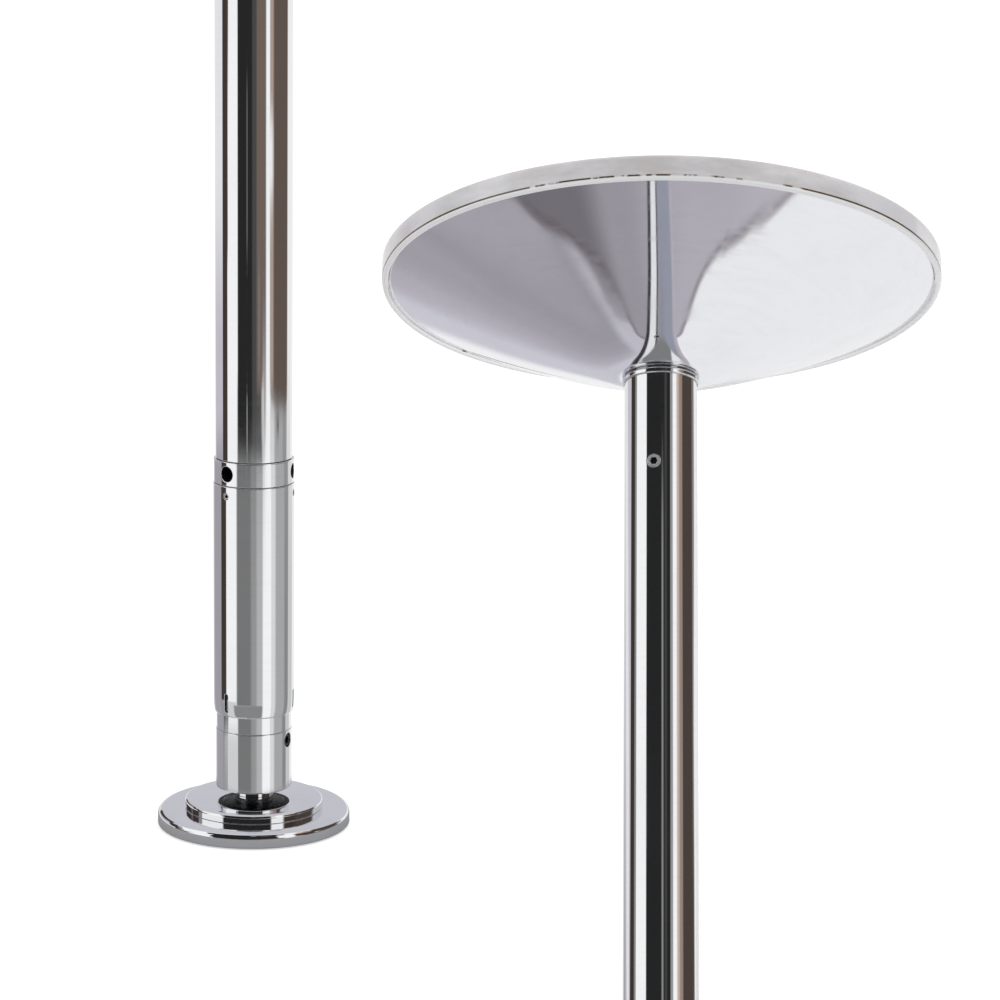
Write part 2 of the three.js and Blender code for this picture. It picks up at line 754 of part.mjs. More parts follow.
// A tube of the pole with holes through its wall, each by its radius, polar angle and height.
function poleTube(name, bottom, top, holes) {
  const solid = holes.reduce((tube, [radius, angle, height]) => {
    const hole = bar(radius, 0, tubeRadius + overrun, screwSteps);
    return tube.subtract(place(hole, angle, height));
  }, ring(tubeBore, tubeRadius, bottom, top, tubeSteps));
  return meshOf(name, solid, chrome());
}

// One half of the coupling, a thick shell on one side of the slit. It lies toward +X.
function couplingHalf(name, angle, hasThread) {
  const radius = tubeBore - runGap;
  const rim = Math.asin(couplingSlit / 2 / radius);
  const inside = Math.asin(couplingSlit / 2 / couplingBoreRadius);
  const shape = new THREE.Shape();
  shape.absarc(0, 0, radius, rim - Math.PI / 2, Math.PI / 2 - rim, false);
  shape.absarc(0, 0, couplingBoreRadius, Math.PI / 2 - inside, inside - Math.PI / 2, true);
  const settings = { depth: couplingLength, bevelEnabled: false, curveSegments: screwSteps };
  const shell = solidOf(new THREE.ExtrudeGeometry(shape, settings));
  const bottom = couplingMiddle - couplingLength / 2;
  const hole = bar(couplingScrewRadius + fitGap, 0, tubeRadius, screwSteps);
  const holes = [lowerScrewHeight, upperScrewHeight].map((z) => hole.translate([0, 0, z - bottom]));
  const solid = hasThread ? holes.reduce((half, cut) => half.subtract(cut), shell) : shell;
  return placeMesh(meshOf(name, solid, aluminium()), angle, bottom);
}

// Screws through one half of the coupling, which push the other half against the tubes.
function couplingScrews() {
  const heights = [lowerScrewHeight, upperScrewHeight];
  return heights.map((height, i) => {
    const inner = runGap - Math.sqrt(couplingBoreRadius ** 2 - couplingScrewRadius ** 2);
    const outer = tubeBore - couplingScrewSunk;
    const solid = grubScrew(couplingScrewRadius, inner, outer, screwSocketRadius);
    const mesh = meshOf(`coupling_screw_${i + 1}`, solid, blackSteel());
    return placeMesh(mesh, couplingAngle, height);
  });
}

// Spigot in the top of the upper tube: plug, flange over the tube's end, shoulder and bearing seat.
function ceilingSpigot() {
  const plug = tubeBore - fitGap;
  const bearingSeat = domeBearing.boreRadius;
  const top = domeBearingTop + fitGap + spigotNutHeight;
  const bottom = upperTubeTop - spigotLength;
  const outline = [
    [0, bottom],
    [plug, bottom],
    [plug, flangeBottom],
    [spigotFlangeRadius, flangeBottom],
    [spigotFlangeRadius, flangeTop],
    [spigotShoulderRadius, flangeTop],
    [spigotShoulderRadius, domeBearingBottom - fitGap],
    [bearingSeat, domeBearingBottom - fitGap],
    [bearingSeat, domeBearingTop],
    [spigotThreadRadius, domeBearingTop],
    [spigotThreadRadius, top],
    [0, top],
  ];
  const hole = bar(spigotScrewRadius + fitGap, plug - spigotScrewLength, tubeRadius, screwSteps);
  const solid = revolve(outline, innerSteps).subtract(place(hole, spigotScrewAngle, spigotScrewHeight));
  return meshOf('ceiling_spigot', solid, aluminium());
}

// Screw that fixes the upper tube to the spigot.
function spigotScrew() {
  const inner = tubeBore - spigotScrewLength + runGap;
  const solid = grubScrew(spigotScrewRadius, inner, tubeRadius - fitGap, screwSocketRadius);
  return placeMesh(meshOf('spigot_screw', solid, blackSteel()), spigotScrewAngle, spigotScrewHeight);
}

function spigotNut() {
  const bottom = domeBearingTop + fitGap;
  const hexagon = ring(0, spigotNutRadius, bottom, bottom + spigotNutHeight, hexSteps);
  const bore = spigotThreadRadius + fitGap;
  const hole = ring(0, bore, bottom - overrun, bottom + spigotNutHeight + overrun, innerSteps);
  return meshOf('spigot_nut', hexagon.subtract(hole), steel());
}

// Hub of the dome: rounded bead under the dome, bearing seat and threaded neck through it.
function domeHub() {
  const seat = domeBearing.outerRadius;
  const groove = seat + snapGrooveDepth;
  const slack = fitGap / 2;
  const beadMiddle = beadBottom + beadHeight / 2;
  const bead = arc(beadRadius - beadHeight / 2, beadMiddle, beadHeight / 2, -90, 90, lipSteps);
  const outline = [
    [tubeRadius + runGap, beadBottom],
    ...bead,
    [hubNeckRadius, beadTop],
    [hubNeckRadius, hubNeckTop],
    [hubBoreRadius, hubNeckTop],
    [hubBoreRadius, domeBearingTop + fitGap],
    [seat, domeBearingTop + fitGap],
    [seat, domeSnapRingBottom + snapRingThickness + slack],
    [groove, domeSnapRingBottom + snapRingThickness + slack],
    [groove, domeSnapRingBottom - slack],
    [seat, domeSnapRingBottom - slack],
    [seat, beadBottom + beadLip],
    [tubeRadius + runGap, beadBottom + beadLip],
  ];
  return meshOf('dome_hub', revolve(outline, tubeSteps), chrome());
}

function hubSnapRing() {
  const seat = domeBearing.outerRadius;
  const solid = snapRing(seat - snapRingReach, seat + snapRingGrip, domeSnapRingBottom, innerSteps);
  return meshOf('hub_snap_ring', solid, blackSteel());
}

// Height of the dome's underside at a radius: a shallow cone that steepens toward the rim.
function domeUnderside(radius) {
  const run = radius - domeLandRadius;
  const full = domeFlangeRadius - domeLandRadius;
  const curve = domeCurveShare * full * (run / full) ** 2;
  return domeLandBottom + domeSlopeShare * run + curve;
}

// Pressed dome: land round the hub, curved cone and upturned flange.
function domeShell() {
  const run = domeFlangeRadius - backingRadius;
  const curve = (_, i) => backingRadius + (run * i) / domeCurveSteps;
  const radii = [domeLandRadius, ...Array.from({ length: domeCurveSteps + 1 }, curve)];
  const flangeTop = domeUnderside(domeFlangeRadius) + domeFlangeHeight;
  const bore = hubNeckRadius + runGap;
  const lift = domeWall * Math.sqrt(1 + domeSlopeShare ** 2);
  const inside = radii.slice(0, -1).map((r) => [r, domeUnderside(r) + lift]);
  const corner = domeFlangeRadius - domeWall;
  const outline = [
    [bore, domeUnderside(domeLandRadius)],
    ...radii.map((r) => [r, domeUnderside(r)]),
    [domeFlangeRadius, flangeTop],
    [corner, flangeTop],
    [corner, domeUnderside(corner) + lift],
    ...inside.reverse(),
    [bore, domeUnderside(domeLandRadius) + lift],
  ];
  return meshOf('dome_shell', revolve(outline, domeSteps), chrome());
}

// Cast ring that spreads the pole's push inside the dome, flat on top.
const backingLift = domeWall * Math.sqrt(1 + domeSlopeShare ** 2) + runGap;
const backingTop = domeUnderside(backingRadius) + backingLift + fitGap;

function backingRing() {
  const bore = hubNeckRadius + fitGap;
  const outline = [
    [bore, domeUnderside(domeLandRadius) + backingLift],
    [domeLandRadius, domeUnderside(domeLandRadius) + backingLift],
    [backingRadius, domeUnderside(backingRadius) + backingLift],
    [backingRadius, backingTop],
    [bore, backingTop],
  ];
  return meshOf('dome_backing_ring', revolve(outline, tubeSteps), aluminium());
}

// Hexagon ring nut that clamps the dome between the bead and the backing ring.
function hubNut() {
  const bottom = backingTop + fitGap;
  const hexagon = ring(0, hubNutRadius, bottom, bottom + hubNutHeight, hexSteps);
  const bore = hubNeckRadius + fitGap;
  const hole = ring(0, bore, bottom - overrun, bottom + hubNutHeight + overrun, tubeSteps);
  return meshOf('hub_nut', hexagon.subtract(hole), steel());
}

// Soft channel over the dome's flange, which meets the ceiling.
function edgeTrim() {
  const bottom = overallHeight - trimHeight;
  const slotOuter = domeFlangeRadius + fitGap;
  const slotInner = domeFlangeRadius - domeWall - fitGap;
  const slotRoof = domeUnderside(domeFlangeRadius) + domeFlangeHeight + fitGap;
  const innerLeg = slotInner - trimInnerWall;
  const legBottom = overallHeight - trimInnerDrop;
  const softEdge = trimCrown / 2;
  const heel = Array.from({ length: edgeSteps + 1 }, (_, i) => {
    const angle = (Math.PI / 2) * (i / edgeSteps);
    const radius = slotOuter + (domeRadius - slotOuter) * Math.sin(angle);
    return [radius, bottom + trimRounding * (1 - Math.cos(angle))];
  });
  const outline = [
    ...heel,
    ...arc(domeRadius - softEdge, overallHeight - softEdge, softEdge, 0, 90, 1),
    [innerLeg, overallHeight],
    [innerLeg, legBottom],
    [slotInner, legBottom],
    [slotInner, slotRoof],
    [slotOuter, slotRoof],
  ];
  return meshOf('edge_trim', revolve(outline, domeSteps), clearPvc());
}

// Assembly, by the groups that move together
function group(...meshes) {
  const made = new THREE.Group();
  made.add(...meshes);
  return made;
}

const base = group(
  floorPad(),
  basePlate(),
  baseBoss(),
  ...bossScrews(),
  spindle(),
  spindleBolt(),
  spindleNut(),
  race('lower_bearing_inner_race', baseBearing, -1, lowerBearingBottom),
  race('upper_bearing_inner_race', baseBearing, -1, upperBearingBottom),
);

const baseCages = group(
  ballCage('lower_bearing_cage', baseBearing, lowerBearingBottom),
  ballCage('upper_bearing_cage', baseBearing, upperBearingBottom),
);

const swivel = group(
  bearingHousing(),
  housingSnapRing(),
  dustShield(),
  race('lower_bearing_outer_race', baseBearing, 1, lowerBearingBottom),
  race('upper_bearing_outer_race', baseBearing, 1, upperBearingBottom),
  jackTube(),
  jackPlug(),
  jackScrew(),
  jackNut(),
);

const adjuster = group(adjusterRing(), ...ringSnapRings());

const pole = group(
  adjusterSleeve(),
  sleeveBush(),
  ...sleeveKeys(),
  ...sleeveScrews(),
  tubeFoot(),
  poleTube('lower_tube', lowerTubeBottom, seamHeight, [
    [accessHoleRadius, couplingAngle, lowerScrewHeight],
  ]),
  couplingHalf('coupling_half_front', couplingAngle, true),
  couplingHalf('coupling_half_back', couplingAngle + 180, false),
  ...couplingScrews(),
  poleTube('upper_tube', upperTubeBottom, upperTubeTop, [
    [accessHoleRadius, couplingAngle, upperScrewHeight],
    [spigotScrewRadius + fitGap, spigotScrewAngle, spigotScrewHeight],
  ]),
  ceilingSpigot(),
  spigotScrew(),
  spigotNut(),
  race('dome_bearing_inner_race', domeBearing, -1, domeBearingBottom),
);

const domeCage = group(ballCage('dome_bearing_cage', domeBearing, domeBearingBottom));

const dome = group(
  domeHub(),
  hubSnapRing(),
  race('dome_bearing_outer_race', domeBearing, 1, domeBearingBottom),
  domeShell(),
  backingRing(),
  hubNut(),
  edgeTrim(),
);

const dancePole = new THREE.Group();
dancePole.name = 'dance_pole';
dancePole.add(base, baseCages, swivel, lockScrew(), adjuster, pole, domeCage, dome);

export default dancePole;
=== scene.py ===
"""Chromed dance pole between floor and ceiling: the looks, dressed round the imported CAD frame.

The classes hold their sizes in millimetres, and a mesh gets them in metres. The photograph joins two
pictures of one pole, so the pieces show twice: the floor end through the camera, and the ceiling end
as a second, tiny picture of the same pieces close before the lens.
"""
from __future__ import annotations

import json
import logging
import math
from dataclasses import dataclass, field
from enum import Enum
from typing import Any, Optional, Sequence, Union

import bmesh
import bpy
import numpy as np
from mathutils import Matrix, Vector

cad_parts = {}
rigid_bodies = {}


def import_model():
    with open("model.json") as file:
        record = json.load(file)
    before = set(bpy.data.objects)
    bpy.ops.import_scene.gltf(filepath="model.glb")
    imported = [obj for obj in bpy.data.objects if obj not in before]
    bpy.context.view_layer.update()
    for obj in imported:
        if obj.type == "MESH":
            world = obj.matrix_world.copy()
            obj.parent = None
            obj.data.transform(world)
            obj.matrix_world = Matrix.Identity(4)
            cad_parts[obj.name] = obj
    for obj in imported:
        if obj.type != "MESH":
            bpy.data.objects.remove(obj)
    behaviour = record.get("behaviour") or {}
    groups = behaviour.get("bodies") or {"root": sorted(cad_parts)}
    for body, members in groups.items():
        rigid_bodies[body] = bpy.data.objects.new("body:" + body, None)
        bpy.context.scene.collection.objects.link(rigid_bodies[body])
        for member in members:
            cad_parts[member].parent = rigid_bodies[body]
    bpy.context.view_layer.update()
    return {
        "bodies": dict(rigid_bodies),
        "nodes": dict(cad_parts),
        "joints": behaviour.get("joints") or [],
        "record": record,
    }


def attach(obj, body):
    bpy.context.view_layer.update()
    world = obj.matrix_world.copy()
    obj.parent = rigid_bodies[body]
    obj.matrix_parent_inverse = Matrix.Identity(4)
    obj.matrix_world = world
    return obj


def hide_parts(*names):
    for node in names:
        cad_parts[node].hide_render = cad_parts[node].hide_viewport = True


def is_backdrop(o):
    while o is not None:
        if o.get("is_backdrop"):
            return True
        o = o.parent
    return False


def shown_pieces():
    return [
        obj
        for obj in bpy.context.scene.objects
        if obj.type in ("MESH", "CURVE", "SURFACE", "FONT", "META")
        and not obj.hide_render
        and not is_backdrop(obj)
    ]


MM = 0.001
TINY = 1e-6  # a length or an angle under this counts as none
WELD = 1.5e-6  # metres within which two points become one
FRAME = 1000  # side of the photograph in pixels
SENSOR = 36.0  # width of the camera's sensor in millimetres
Colour = tuple[float, float, float]
Node = bpy.types.Node
Socket = bpy.types.NodeSocket
Value = Union[float, Sequence[float], Socket]
log = logging.getLogger("dance_pole")


# ---------------------------------------------------------------- outlines and skins


def unit(v: np.ndarray) -> np.ndarray:
    """Each row of v divided by its length, or left alone where it has none."""
    return v / np.maximum(np.linalg.norm(v, axis=-1, keepdims=True), TINY**2)


def soften(corners: Sequence[tuple[float, ...]], steps: int = 6, hold: float = 0.25) -> np.ndarray:
    """Rounds the corners of a closed outline.

    An arc of the corner's own radius touches both edges. It runs from one touching point to the other
    by spherical interpolation about its centre, which lies on the bisector at radius / sin(half the
    angle). A holding point beside each end of the arc keeps the long faces true.

    Args:
        corners: Radius, height and rounding of each corner. A rounding of zero keeps the point.
        steps: Steps of each arc.
        hold: Distance from an arc to its holding points.

    Returns:
        Radius and height of each point of the outline.
    """
    table = np.array([(*c, 0.0)[:3] for c in corners], float)
    p, rounding = table[:, :2], table[:, 2:]
    u, v = unit(np.roll(p, 1, 0) - p), unit(np.roll(p, -1, 0) - p)
    half = np.arccos(np.clip((u * v).sum(1, keepdims=True), -1, 1)) / 2
    reach = rounding / np.tan(np.maximum(half, TINY))
    centre = p + unit(u + v) * rounding / np.sin(np.maximum(half, TINY))
    span = (np.pi - 2 * half)[:, None]
    t = np.linspace(0, 1, steps + 1)[None, :, None]
    sweep = np.where(span > TINY, np.sin(np.maximum(span, TINY)), 1)
    start, end = (p + u * reach - centre)[:, None], (p + v * reach - centre)[:, None]
    arcs = centre[:, None] + (np.sin((1 - t) * span) * start + np.sin(t * span) * end) / sweep
    before, after = p + u * (reach + hold), p + v * (reach + hold)
    rows = np.concatenate([before[:, None], arcs, after[:, None]], 1)
    plain = rounding[:, 0] <= 0
    rows[plain, 0] = p[plain]
    kept = np.ones(rows.shape[:2], bool)
    kept[plain, 1:] = False
    return rows[kept]


def levels(radius: float, low: float, high: float, count: int) -> list[tuple[float, float]]:
    """Evenly spaced points up or down a straight wall."""
    return [(radius, z) for z in np.linspace(low, high, count)]


def groove(radius: float, depth: float, start: float, end: float) -> list[tuple[float, ...]]:
    """Corners of a snap ring's groove in a wall, from start to end; a depth below zero cuts outwards."""
    floor = radius - depth
    return [(radius, start, 0.05), (floor, start, 0.05), (floor, end, 0.05), (radius, end, 0.05)]


def hexagon(turn: np.ndarray) -> np.ndarray:
    """Distance to a hexagon's side over its corner radius: cos 30 / cos(angle from the side's middle)."""
    sixth = math.pi / 3
    return math.cos(sixth / 2) / np.cos(np.mod(turn, sixth) - sixth / 2)


def outward(angle: float, out: np.ndarray, across: np.ndarray, height: np.ndarray) -> np.ndarray:
    """The point (x cos a - y sin a, x sin a + y cos a, z), for x out along the angle a, and y across it."""
    c, s = math.cos(math.radians(angle)), math.sin(math.radians(angle))
    return np.stack([out * c - across * s, out * s + across * c, height], -1)


@dataclass
class Skin:
    """Grids of cells that are welded into one closed mesh."""

    grids: list[np.ndarray] = field(default_factory=list)
    cells: list[np.ndarray] = field(default_factory=list)
    finishes: list[np.ndarray] = field(default_factory=list)
    count: int = 0

    def add(
        self,
        grid: np.ndarray,
        closed_rows: bool = False,
        kept: Optional[np.ndarray] = None,
        finish: Union[int, np.ndarray] = 0,
    ) -> "Skin":
        """Adds a grid that is closed along its columns.

        Args:
            grid: Rows by columns by three coordinates, in millimetres.
            closed_rows: Whether the last row joins the first.
            kept: Which cells stay, by row and column, or all of them.
            finish: Number of the cells' finish, or one number for each row of cells.

        Returns:
            The skin itself.
        """
        n, m = grid.shape[:2]
        rows = np.arange(n if closed_rows else n - 1)
        i, j = np.meshgrid(rows, np.arange(m), indexing="ij")
        up, on = (i + 1) % n, (j + 1) % m
        quads = np.stack([i * m + j, i * m + on, up * m + on, up * m + j], -1)
        mask = np.ones(i.shape, bool) if kept is None else kept[: len(rows)]
        number = np.broadcast_to(np.asarray(finish).reshape(-1, 1), i.shape)
        self.grids.append(grid.reshape(-1, 3))
        self.cells.append(quads[mask] + self.count)
        self.finishes.append(number[mask])
        self.count += n * m
        return self

    def build(
        self, name: str, materials: Sequence[bpy.types.Material], crease: float = 32
    ) -> bpy.types.Object:
        """Makes the mesh object at the origin, welded, facing outwards and smooth up to its creases.

        Args:
            name: Name of the piece.
            materials: The materials, in the order of the finishes' numbers.
            crease: Angle in degrees over which an edge stays sharp.

        Returns:
            The object.
        """
        mesh = bpy.data.meshes.new(name)
        cells = np.concatenate(self.cells)
        mesh.from_pydata(np.concatenate(self.grids) * MM, [], cells)
        for material in materials:
            mesh.materials.append(material)
        mesh.polygons.foreach_set("material_index", np.concatenate(self.finishes).astype(np.int32))
        work = bmesh.new()
        work.from_mesh(mesh)
        bmesh.ops.remove_doubles(work, verts=work.verts, dist=WELD)
        bmesh.ops.recalc_face_normals(work, faces=work.faces)
        work.to_mesh(mesh)
        work.free()
        mesh.polygons.foreach_set("use_smooth", np.ones(len(mesh.polygons), bool))
        mesh.set_sharp_from_angle(angle=math.radians(crease))
        made = bpy.data.objects.new(name, mesh)
        bpy.context.scene.collection.objects.link(made)
        return made


@dataclass(frozen=True)
class Hole:
    """A hole square to the axis, round or slotted, blind or through the wall."""

    angle: float
    height: float
    radius: float
    core: float = 0.0  # half of the slot's straight part, along Z
    lip: float = 0.3
    depth: Optional[float] = None  # without a depth it goes through
    margin: float = 0.9

    @property
    def reach(self) -> float:
        """Half height of the wall's block that the hole's patch takes."""
        return self.core + self.radius + self.lip + self.margin


@dataclass(frozen=True)
class Thread:
    """A helical thread between two heights of an outer wall."""

    low: float
    high: float
    pitch: float
    depth: float
    inside: float  # walls at or under this radius stay plain
    steps: int = 8  # points to each turn

    def cut(self, radius: np.ndarray, z: np.ndarray, turn: np.ndarray) -> np.ndarray:
        """Radius less depth times a raised cosine of (height / pitch - turn), faded out at both ends.

        Args:
            radius: Plain radii, by row and column.
            z: Heights, by row.
            turn: Polar angles in radians, by column.

        Returns:
            The radii with the thread cut into them.
        """
        wave = 0.5 - 0.5 * np.cos(2 * np.pi * z / self.pitch - turn)
        fade = np.clip(np.minimum(z - self.low, self.high - z) / self.pitch, 0, 1)
        return np.where(radius > self.inside, radius - self.depth * wave * fade, radius)

    def rows(self, radius: float) -> list[tuple[float, float]]:
        """Points up the wall, some to each turn of the thread."""
        count = int(self.steps * (self.high - self.low) / self.pitch) + 1
        return levels(radius, self.low, self.high, count)


@dataclass
class Turned:
    """A turned piece: a closed outline swept round the Z axis, with holes drilled square to it."""

    outline: np.ndarray
    holes: Sequence[Hole] = ()
    split: float = 0.0  # radius between the inner and the outer wall
    columns: int = 360
    thread: Optional[Thread] = None
    dark_under: float = -1.0  # rows at or under this height take the second finish
    patch_rows: int = 7  # from the border of a hole's block to its mouth
    lip_rows: int = 6  # round a hole's lip

    def grid(self) -> np.ndarray:
        """The point (r cos a, r sin a, z) for each outline point (r, z) and each polar angle a.

        Returns:
            Rows by columns by three coordinates, in millimetres.
        """
        turn = np.radians(np.arange(self.columns) * 360 / self.columns)[None]
        r, z = (np.repeat(c[:, None], self.columns, 1) for c in self.outline.T)
        if self.thread:
            r = self.thread.cut(r, z, turn)
        return np.stack([r * np.cos(turn), r * np.sin(turn), z], -1)

    def _rows(self, hole: Hole, outer: bool) -> np.ndarray:
        """Outline points of one wall beside a hole.

        Args:
            hole: The hole.
            outer: Whether the outer wall is meant, or the inner one.

        Returns:
            Numbers of the points, from the lowest up.
        """
        r, z = self.outline.T
        near = np.abs(z - hole.height) <= hole.reach + TINY
        rows = np.flatnonzero(near & ((r > self.split) == outer))
        return rows[np.argsort(z[rows])]

    def _columns(self, hole: Hole, radii: Sequence[float]) -> np.ndarray:
        """Columns that a hole's patch spans: asin(half width / radius) to each side of its middle.

        Args:
            hole: The hole.
            radii: Radii of the walls; the smallest gives the widest patch.

        Returns:
            Numbers of the columns, which may run past the last one.
        """
        width = hole.radius + hole.lip + hole.margin
        half = math.degrees(math.asin(width / min(radii))) * self.columns / 360
        middle = hole.angle * self.columns / 360
        return np.arange(math.floor(middle - half), math.ceil(middle + half) + 1)

    def _rim(self, grid: np.ndarray, rows: np.ndarray, columns: np.ndarray, hole: Hole) -> np.ndarray:
        """The block's border as seen along the hole: y cos a - x sin a across, and z less its height up.

        Args:
            grid: Points of the whole piece.
            rows: Rows of the block.
            columns: Columns of the block.
            hole: The hole.

        Returns:
            Two coordinates of each border point, once round.
        """
        wide, tall = len(columns), len(rows)
        i = np.r_[np.full(wide, rows[0]), rows[1:], np.full(wide - 1, rows[-1]), rows[-2:0:-1]]
        j = np.r_[columns, np.full(tall - 1, columns[-1]), columns[-2::-1], np.full(tall - 2, columns[0])]
        x, y, z = grid[i, j % self.columns].T
        a = math.radians(hole.angle)
        return np.stack([y * math.cos(a) - x * math.sin(a), z - hole.height], -1)

    def _drill(self, skin: Skin, grid: np.ndarray, kept: np.ndarray, hole: Hole) -> None:
        """Replaces a block of wall cells by the patch round a hole, its rounded lip and its bore.

        Each border point goes straight to the nearest point of the hole's outline, at the hole's radius
        from its core. Across y and up h, a wall of radius R(h) lies at x = sqrt(R(h)^2 - y^2). The lip
        is a quarter circle from the wall into the bore, and a blind bore ends on a flat floor.

        Args:
            skin: Skin that gets the patch.
            grid: Points of the whole piece.
            kept: Which of its cells stay; those of the block are struck out.
            hole: The hole.
        """
        through = hole.depth is None
        walls = [self._rows(hole, outer) for outer in ((True, False) if through else (True,))]
        radii = [self.outline[rows, 0].min() for rows in walls]
        columns = self._columns(hole, radii)
        rims = [self._rim(grid, rows, columns, hole) for rows in walls]
        for rows in walls:
            kept[np.ix_(np.arange(rows.min(), rows.max()), columns[:-1] % self.columns)] = False

        def on_wall(rows: np.ndarray, flat: np.ndarray) -> np.ndarray:
            """The distance from the axis plane of flat points on a wall."""
            r = np.interp(flat[..., 1] + hole.height, self.outline[rows, 1], self.outline[rows, 0])
            return np.sqrt(r**2 - flat[..., 0] ** 2)

        core = np.stack([np.zeros(len(rims[0])), np.clip(rims[0][:, 1], -hole.core, hole.core)], -1)
        toward = unit(rims[0] - core)
        mouth, bore = core + toward * (hole.radius + hole.lip), core + toward * hole.radius
        t = np.linspace(0, 1, self.patch_rows)[:, None, None]
        apron = (1 - t) * rims[0] + t * mouth
        s = np.linspace(0, np.pi / 2, self.lip_rows)[1:, None, None]
        lip = core + toward * (hole.radius + hole.lip * (1 - np.sin(s)))
        flats = [apron, lip]
        depths = [on_wall(walls[0], apron), on_wall(walls[0], lip) - hole.lip * (1 - np.cos(s[..., 0]))]
        if through:
            flats += [bore[None], ((1 - t) * bore + t * rims[1])]
            depths += [on_wall(walls[1], bore)[None], on_wall(walls[1], flats[-1])]
        else:
            wall = self.outline[walls[0]]
            floor = np.interp(hole.height, wall[:, 1], wall[:, 0]) - hole.depth
            flats += [bore[None], (1 - t[1:]) * bore + t[1:] * core]
            depths.append(np.full((len(t), len(bore)), floor))
        flat, x = np.concatenate(flats), np.concatenate(depths)
        patch = outward(hole.angle, x, flat[..., 0], flat[..., 1] + hole.height)
        dark = (np.arange(len(patch) - 1) >= len(apron) + len(lip) - 1).astype(int)
        skin.add(patch, finish=dark)

    def skin(self) -> Skin:
        """The swept grid with the patches of its holes.

        Returns:
            The skin: hole bores and the rows low down have its second finish.
        """
        made, grid = Skin(), self.grid()
        kept = np.ones(grid.shape[:2], bool)
        for hole in self.holes:
            self._drill(made, grid, kept, hole)
        low = self.outline[:, 1] <= self.dark_under
        return made.add(grid, closed_rows=True, kept=kept, finish=(low & np.roll(low, -1)).astype(int))


@dataclass(frozen=True)
class SocketScrew:
    """A headless screw square to the axis, with a hexagon socket in its outer end."""

    angle: float
    height: float
    inner: float
    outer: float
    radius: float
    socket: float
    chamfer: float = 0.35
    columns: int = 72
    depth: float = 1.5  # of the socket, over its corner radius
    cone: float = 0.3  # of the socket's end, over its corner radius

    def skin(self) -> Skin:
        """Rows of (distance, radius) swept round the screw's own axis.

        The radius is a circle's on the body, and a hexagon's in the socket: corner radius times
        cos 30 / cos(angle from the side's middle). The socket ends on a shallow cone.

        Returns:
            The skin, with the socket as its second finish.
        """
        c, s, side, face = self.chamfer, self.socket, self.radius, self.outer
        body = [
            (self.inner, 0, 0), (self.inner, side - c, 0), (self.inner + c, side, 0),
            (face - c - 0.1, side, 0), (face - c, side, 0), (face - c * 0.3, side - c * 0.3, 0),
            (face, side - c, 0), (face, side - c - 0.12, 0), (face, s + 0.28, 1), (face, s + 0.16, 1),
        ]
        end = face - s * self.depth
        socket = [(face - 0.06, s + 0.05, 1), (face - 0.2, s, 1), (end, s, 1), (end - self.cone * s, 0, 1)]
        rows = np.array([*body, *socket])
        turn = np.arange(self.columns) * 2 * np.pi / self.columns
        out, radius, six = (rows[:, k : k + 1] for k in range(3))
        r = radius * (1 - six + six * hexagon(turn[None]))
        out = np.broadcast_to(out, r.shape)
        grid = outward(self.angle, out, r * np.cos(turn), r * np.sin(turn) + self.height)
        return Skin().add(grid, finish=(np.arange(len(rows) - 1) >= len(body)).astype(int))


@dataclass(frozen=True)
class SlotKey:
    """A round-ended key square to the axis."""

    angle: float
    height: float
    inner: float
    outer: float
    radius: float
    core: float
    rounding: float = 0.25
    columns: int = 64

    def skin(self) -> Skin:
        """Loops at an offset from a straight core: the core's near end plus offset times (cos t, sin t).

        Returns:
            The skin, with one finish.
        """
        t = (np.arange(self.columns) + 0.5) * 2 * np.pi / self.columns
        arc = np.linspace(0, np.pi / 2, 5)
        c = self.rounding
        top = self.outer - c
        out = np.r_[self.inner, self.inner, top - 0.2, top + c * np.sin(arc), self.outer]
        off = np.r_[0, self.radius, self.radius, self.radius - c + c * np.cos(arc), 0]
        y = off[:, None] * np.cos(t)
        h = self.core * np.sign(np.sin(t)) + off[:, None] * np.sin(t)
        return Skin().add(outward(self.angle, np.broadcast_to(out[:, None], y.shape), y, h + self.height))


@dataclass(frozen=True)
class HexNut:
    """A hexagon nut on the Z axis with a plain bore and chamfered corners."""

    corner: float
    bore: float
    bottom: float
    top: float
    columns: int = 360
    rows: int = 41
    face: float = 0.985  # radius of its flat faces, over the hexagon's inner radius

    def skin(self) -> Skin:
        """The smaller of the hexagon's side and a 30 degree cone off each end, swept round the axis.

        Returns:
            The skin, with one finish.
        """
        turn = (np.arange(self.columns) * 2 * np.pi / self.columns)[None]
        z = np.r_[self.bottom, np.linspace(self.bottom, self.top, self.rows), self.top][:, None]
        near = np.minimum(z - self.bottom, self.top - z)
        cone = self.corner * math.cos(math.pi / 6) * self.face + near * math.sqrt(3)
        r = np.minimum(self.corner * hexagon(turn), cone)
        r[0] = r[-1] = self.bore
        grid = np.stack([r * np.cos(turn), r * np.sin(turn), np.broadcast_to(z, r.shape)], -1)
        return Skin().add(grid, closed_rows=True)


# ---------------------------------------------------------------- node groups and finishes


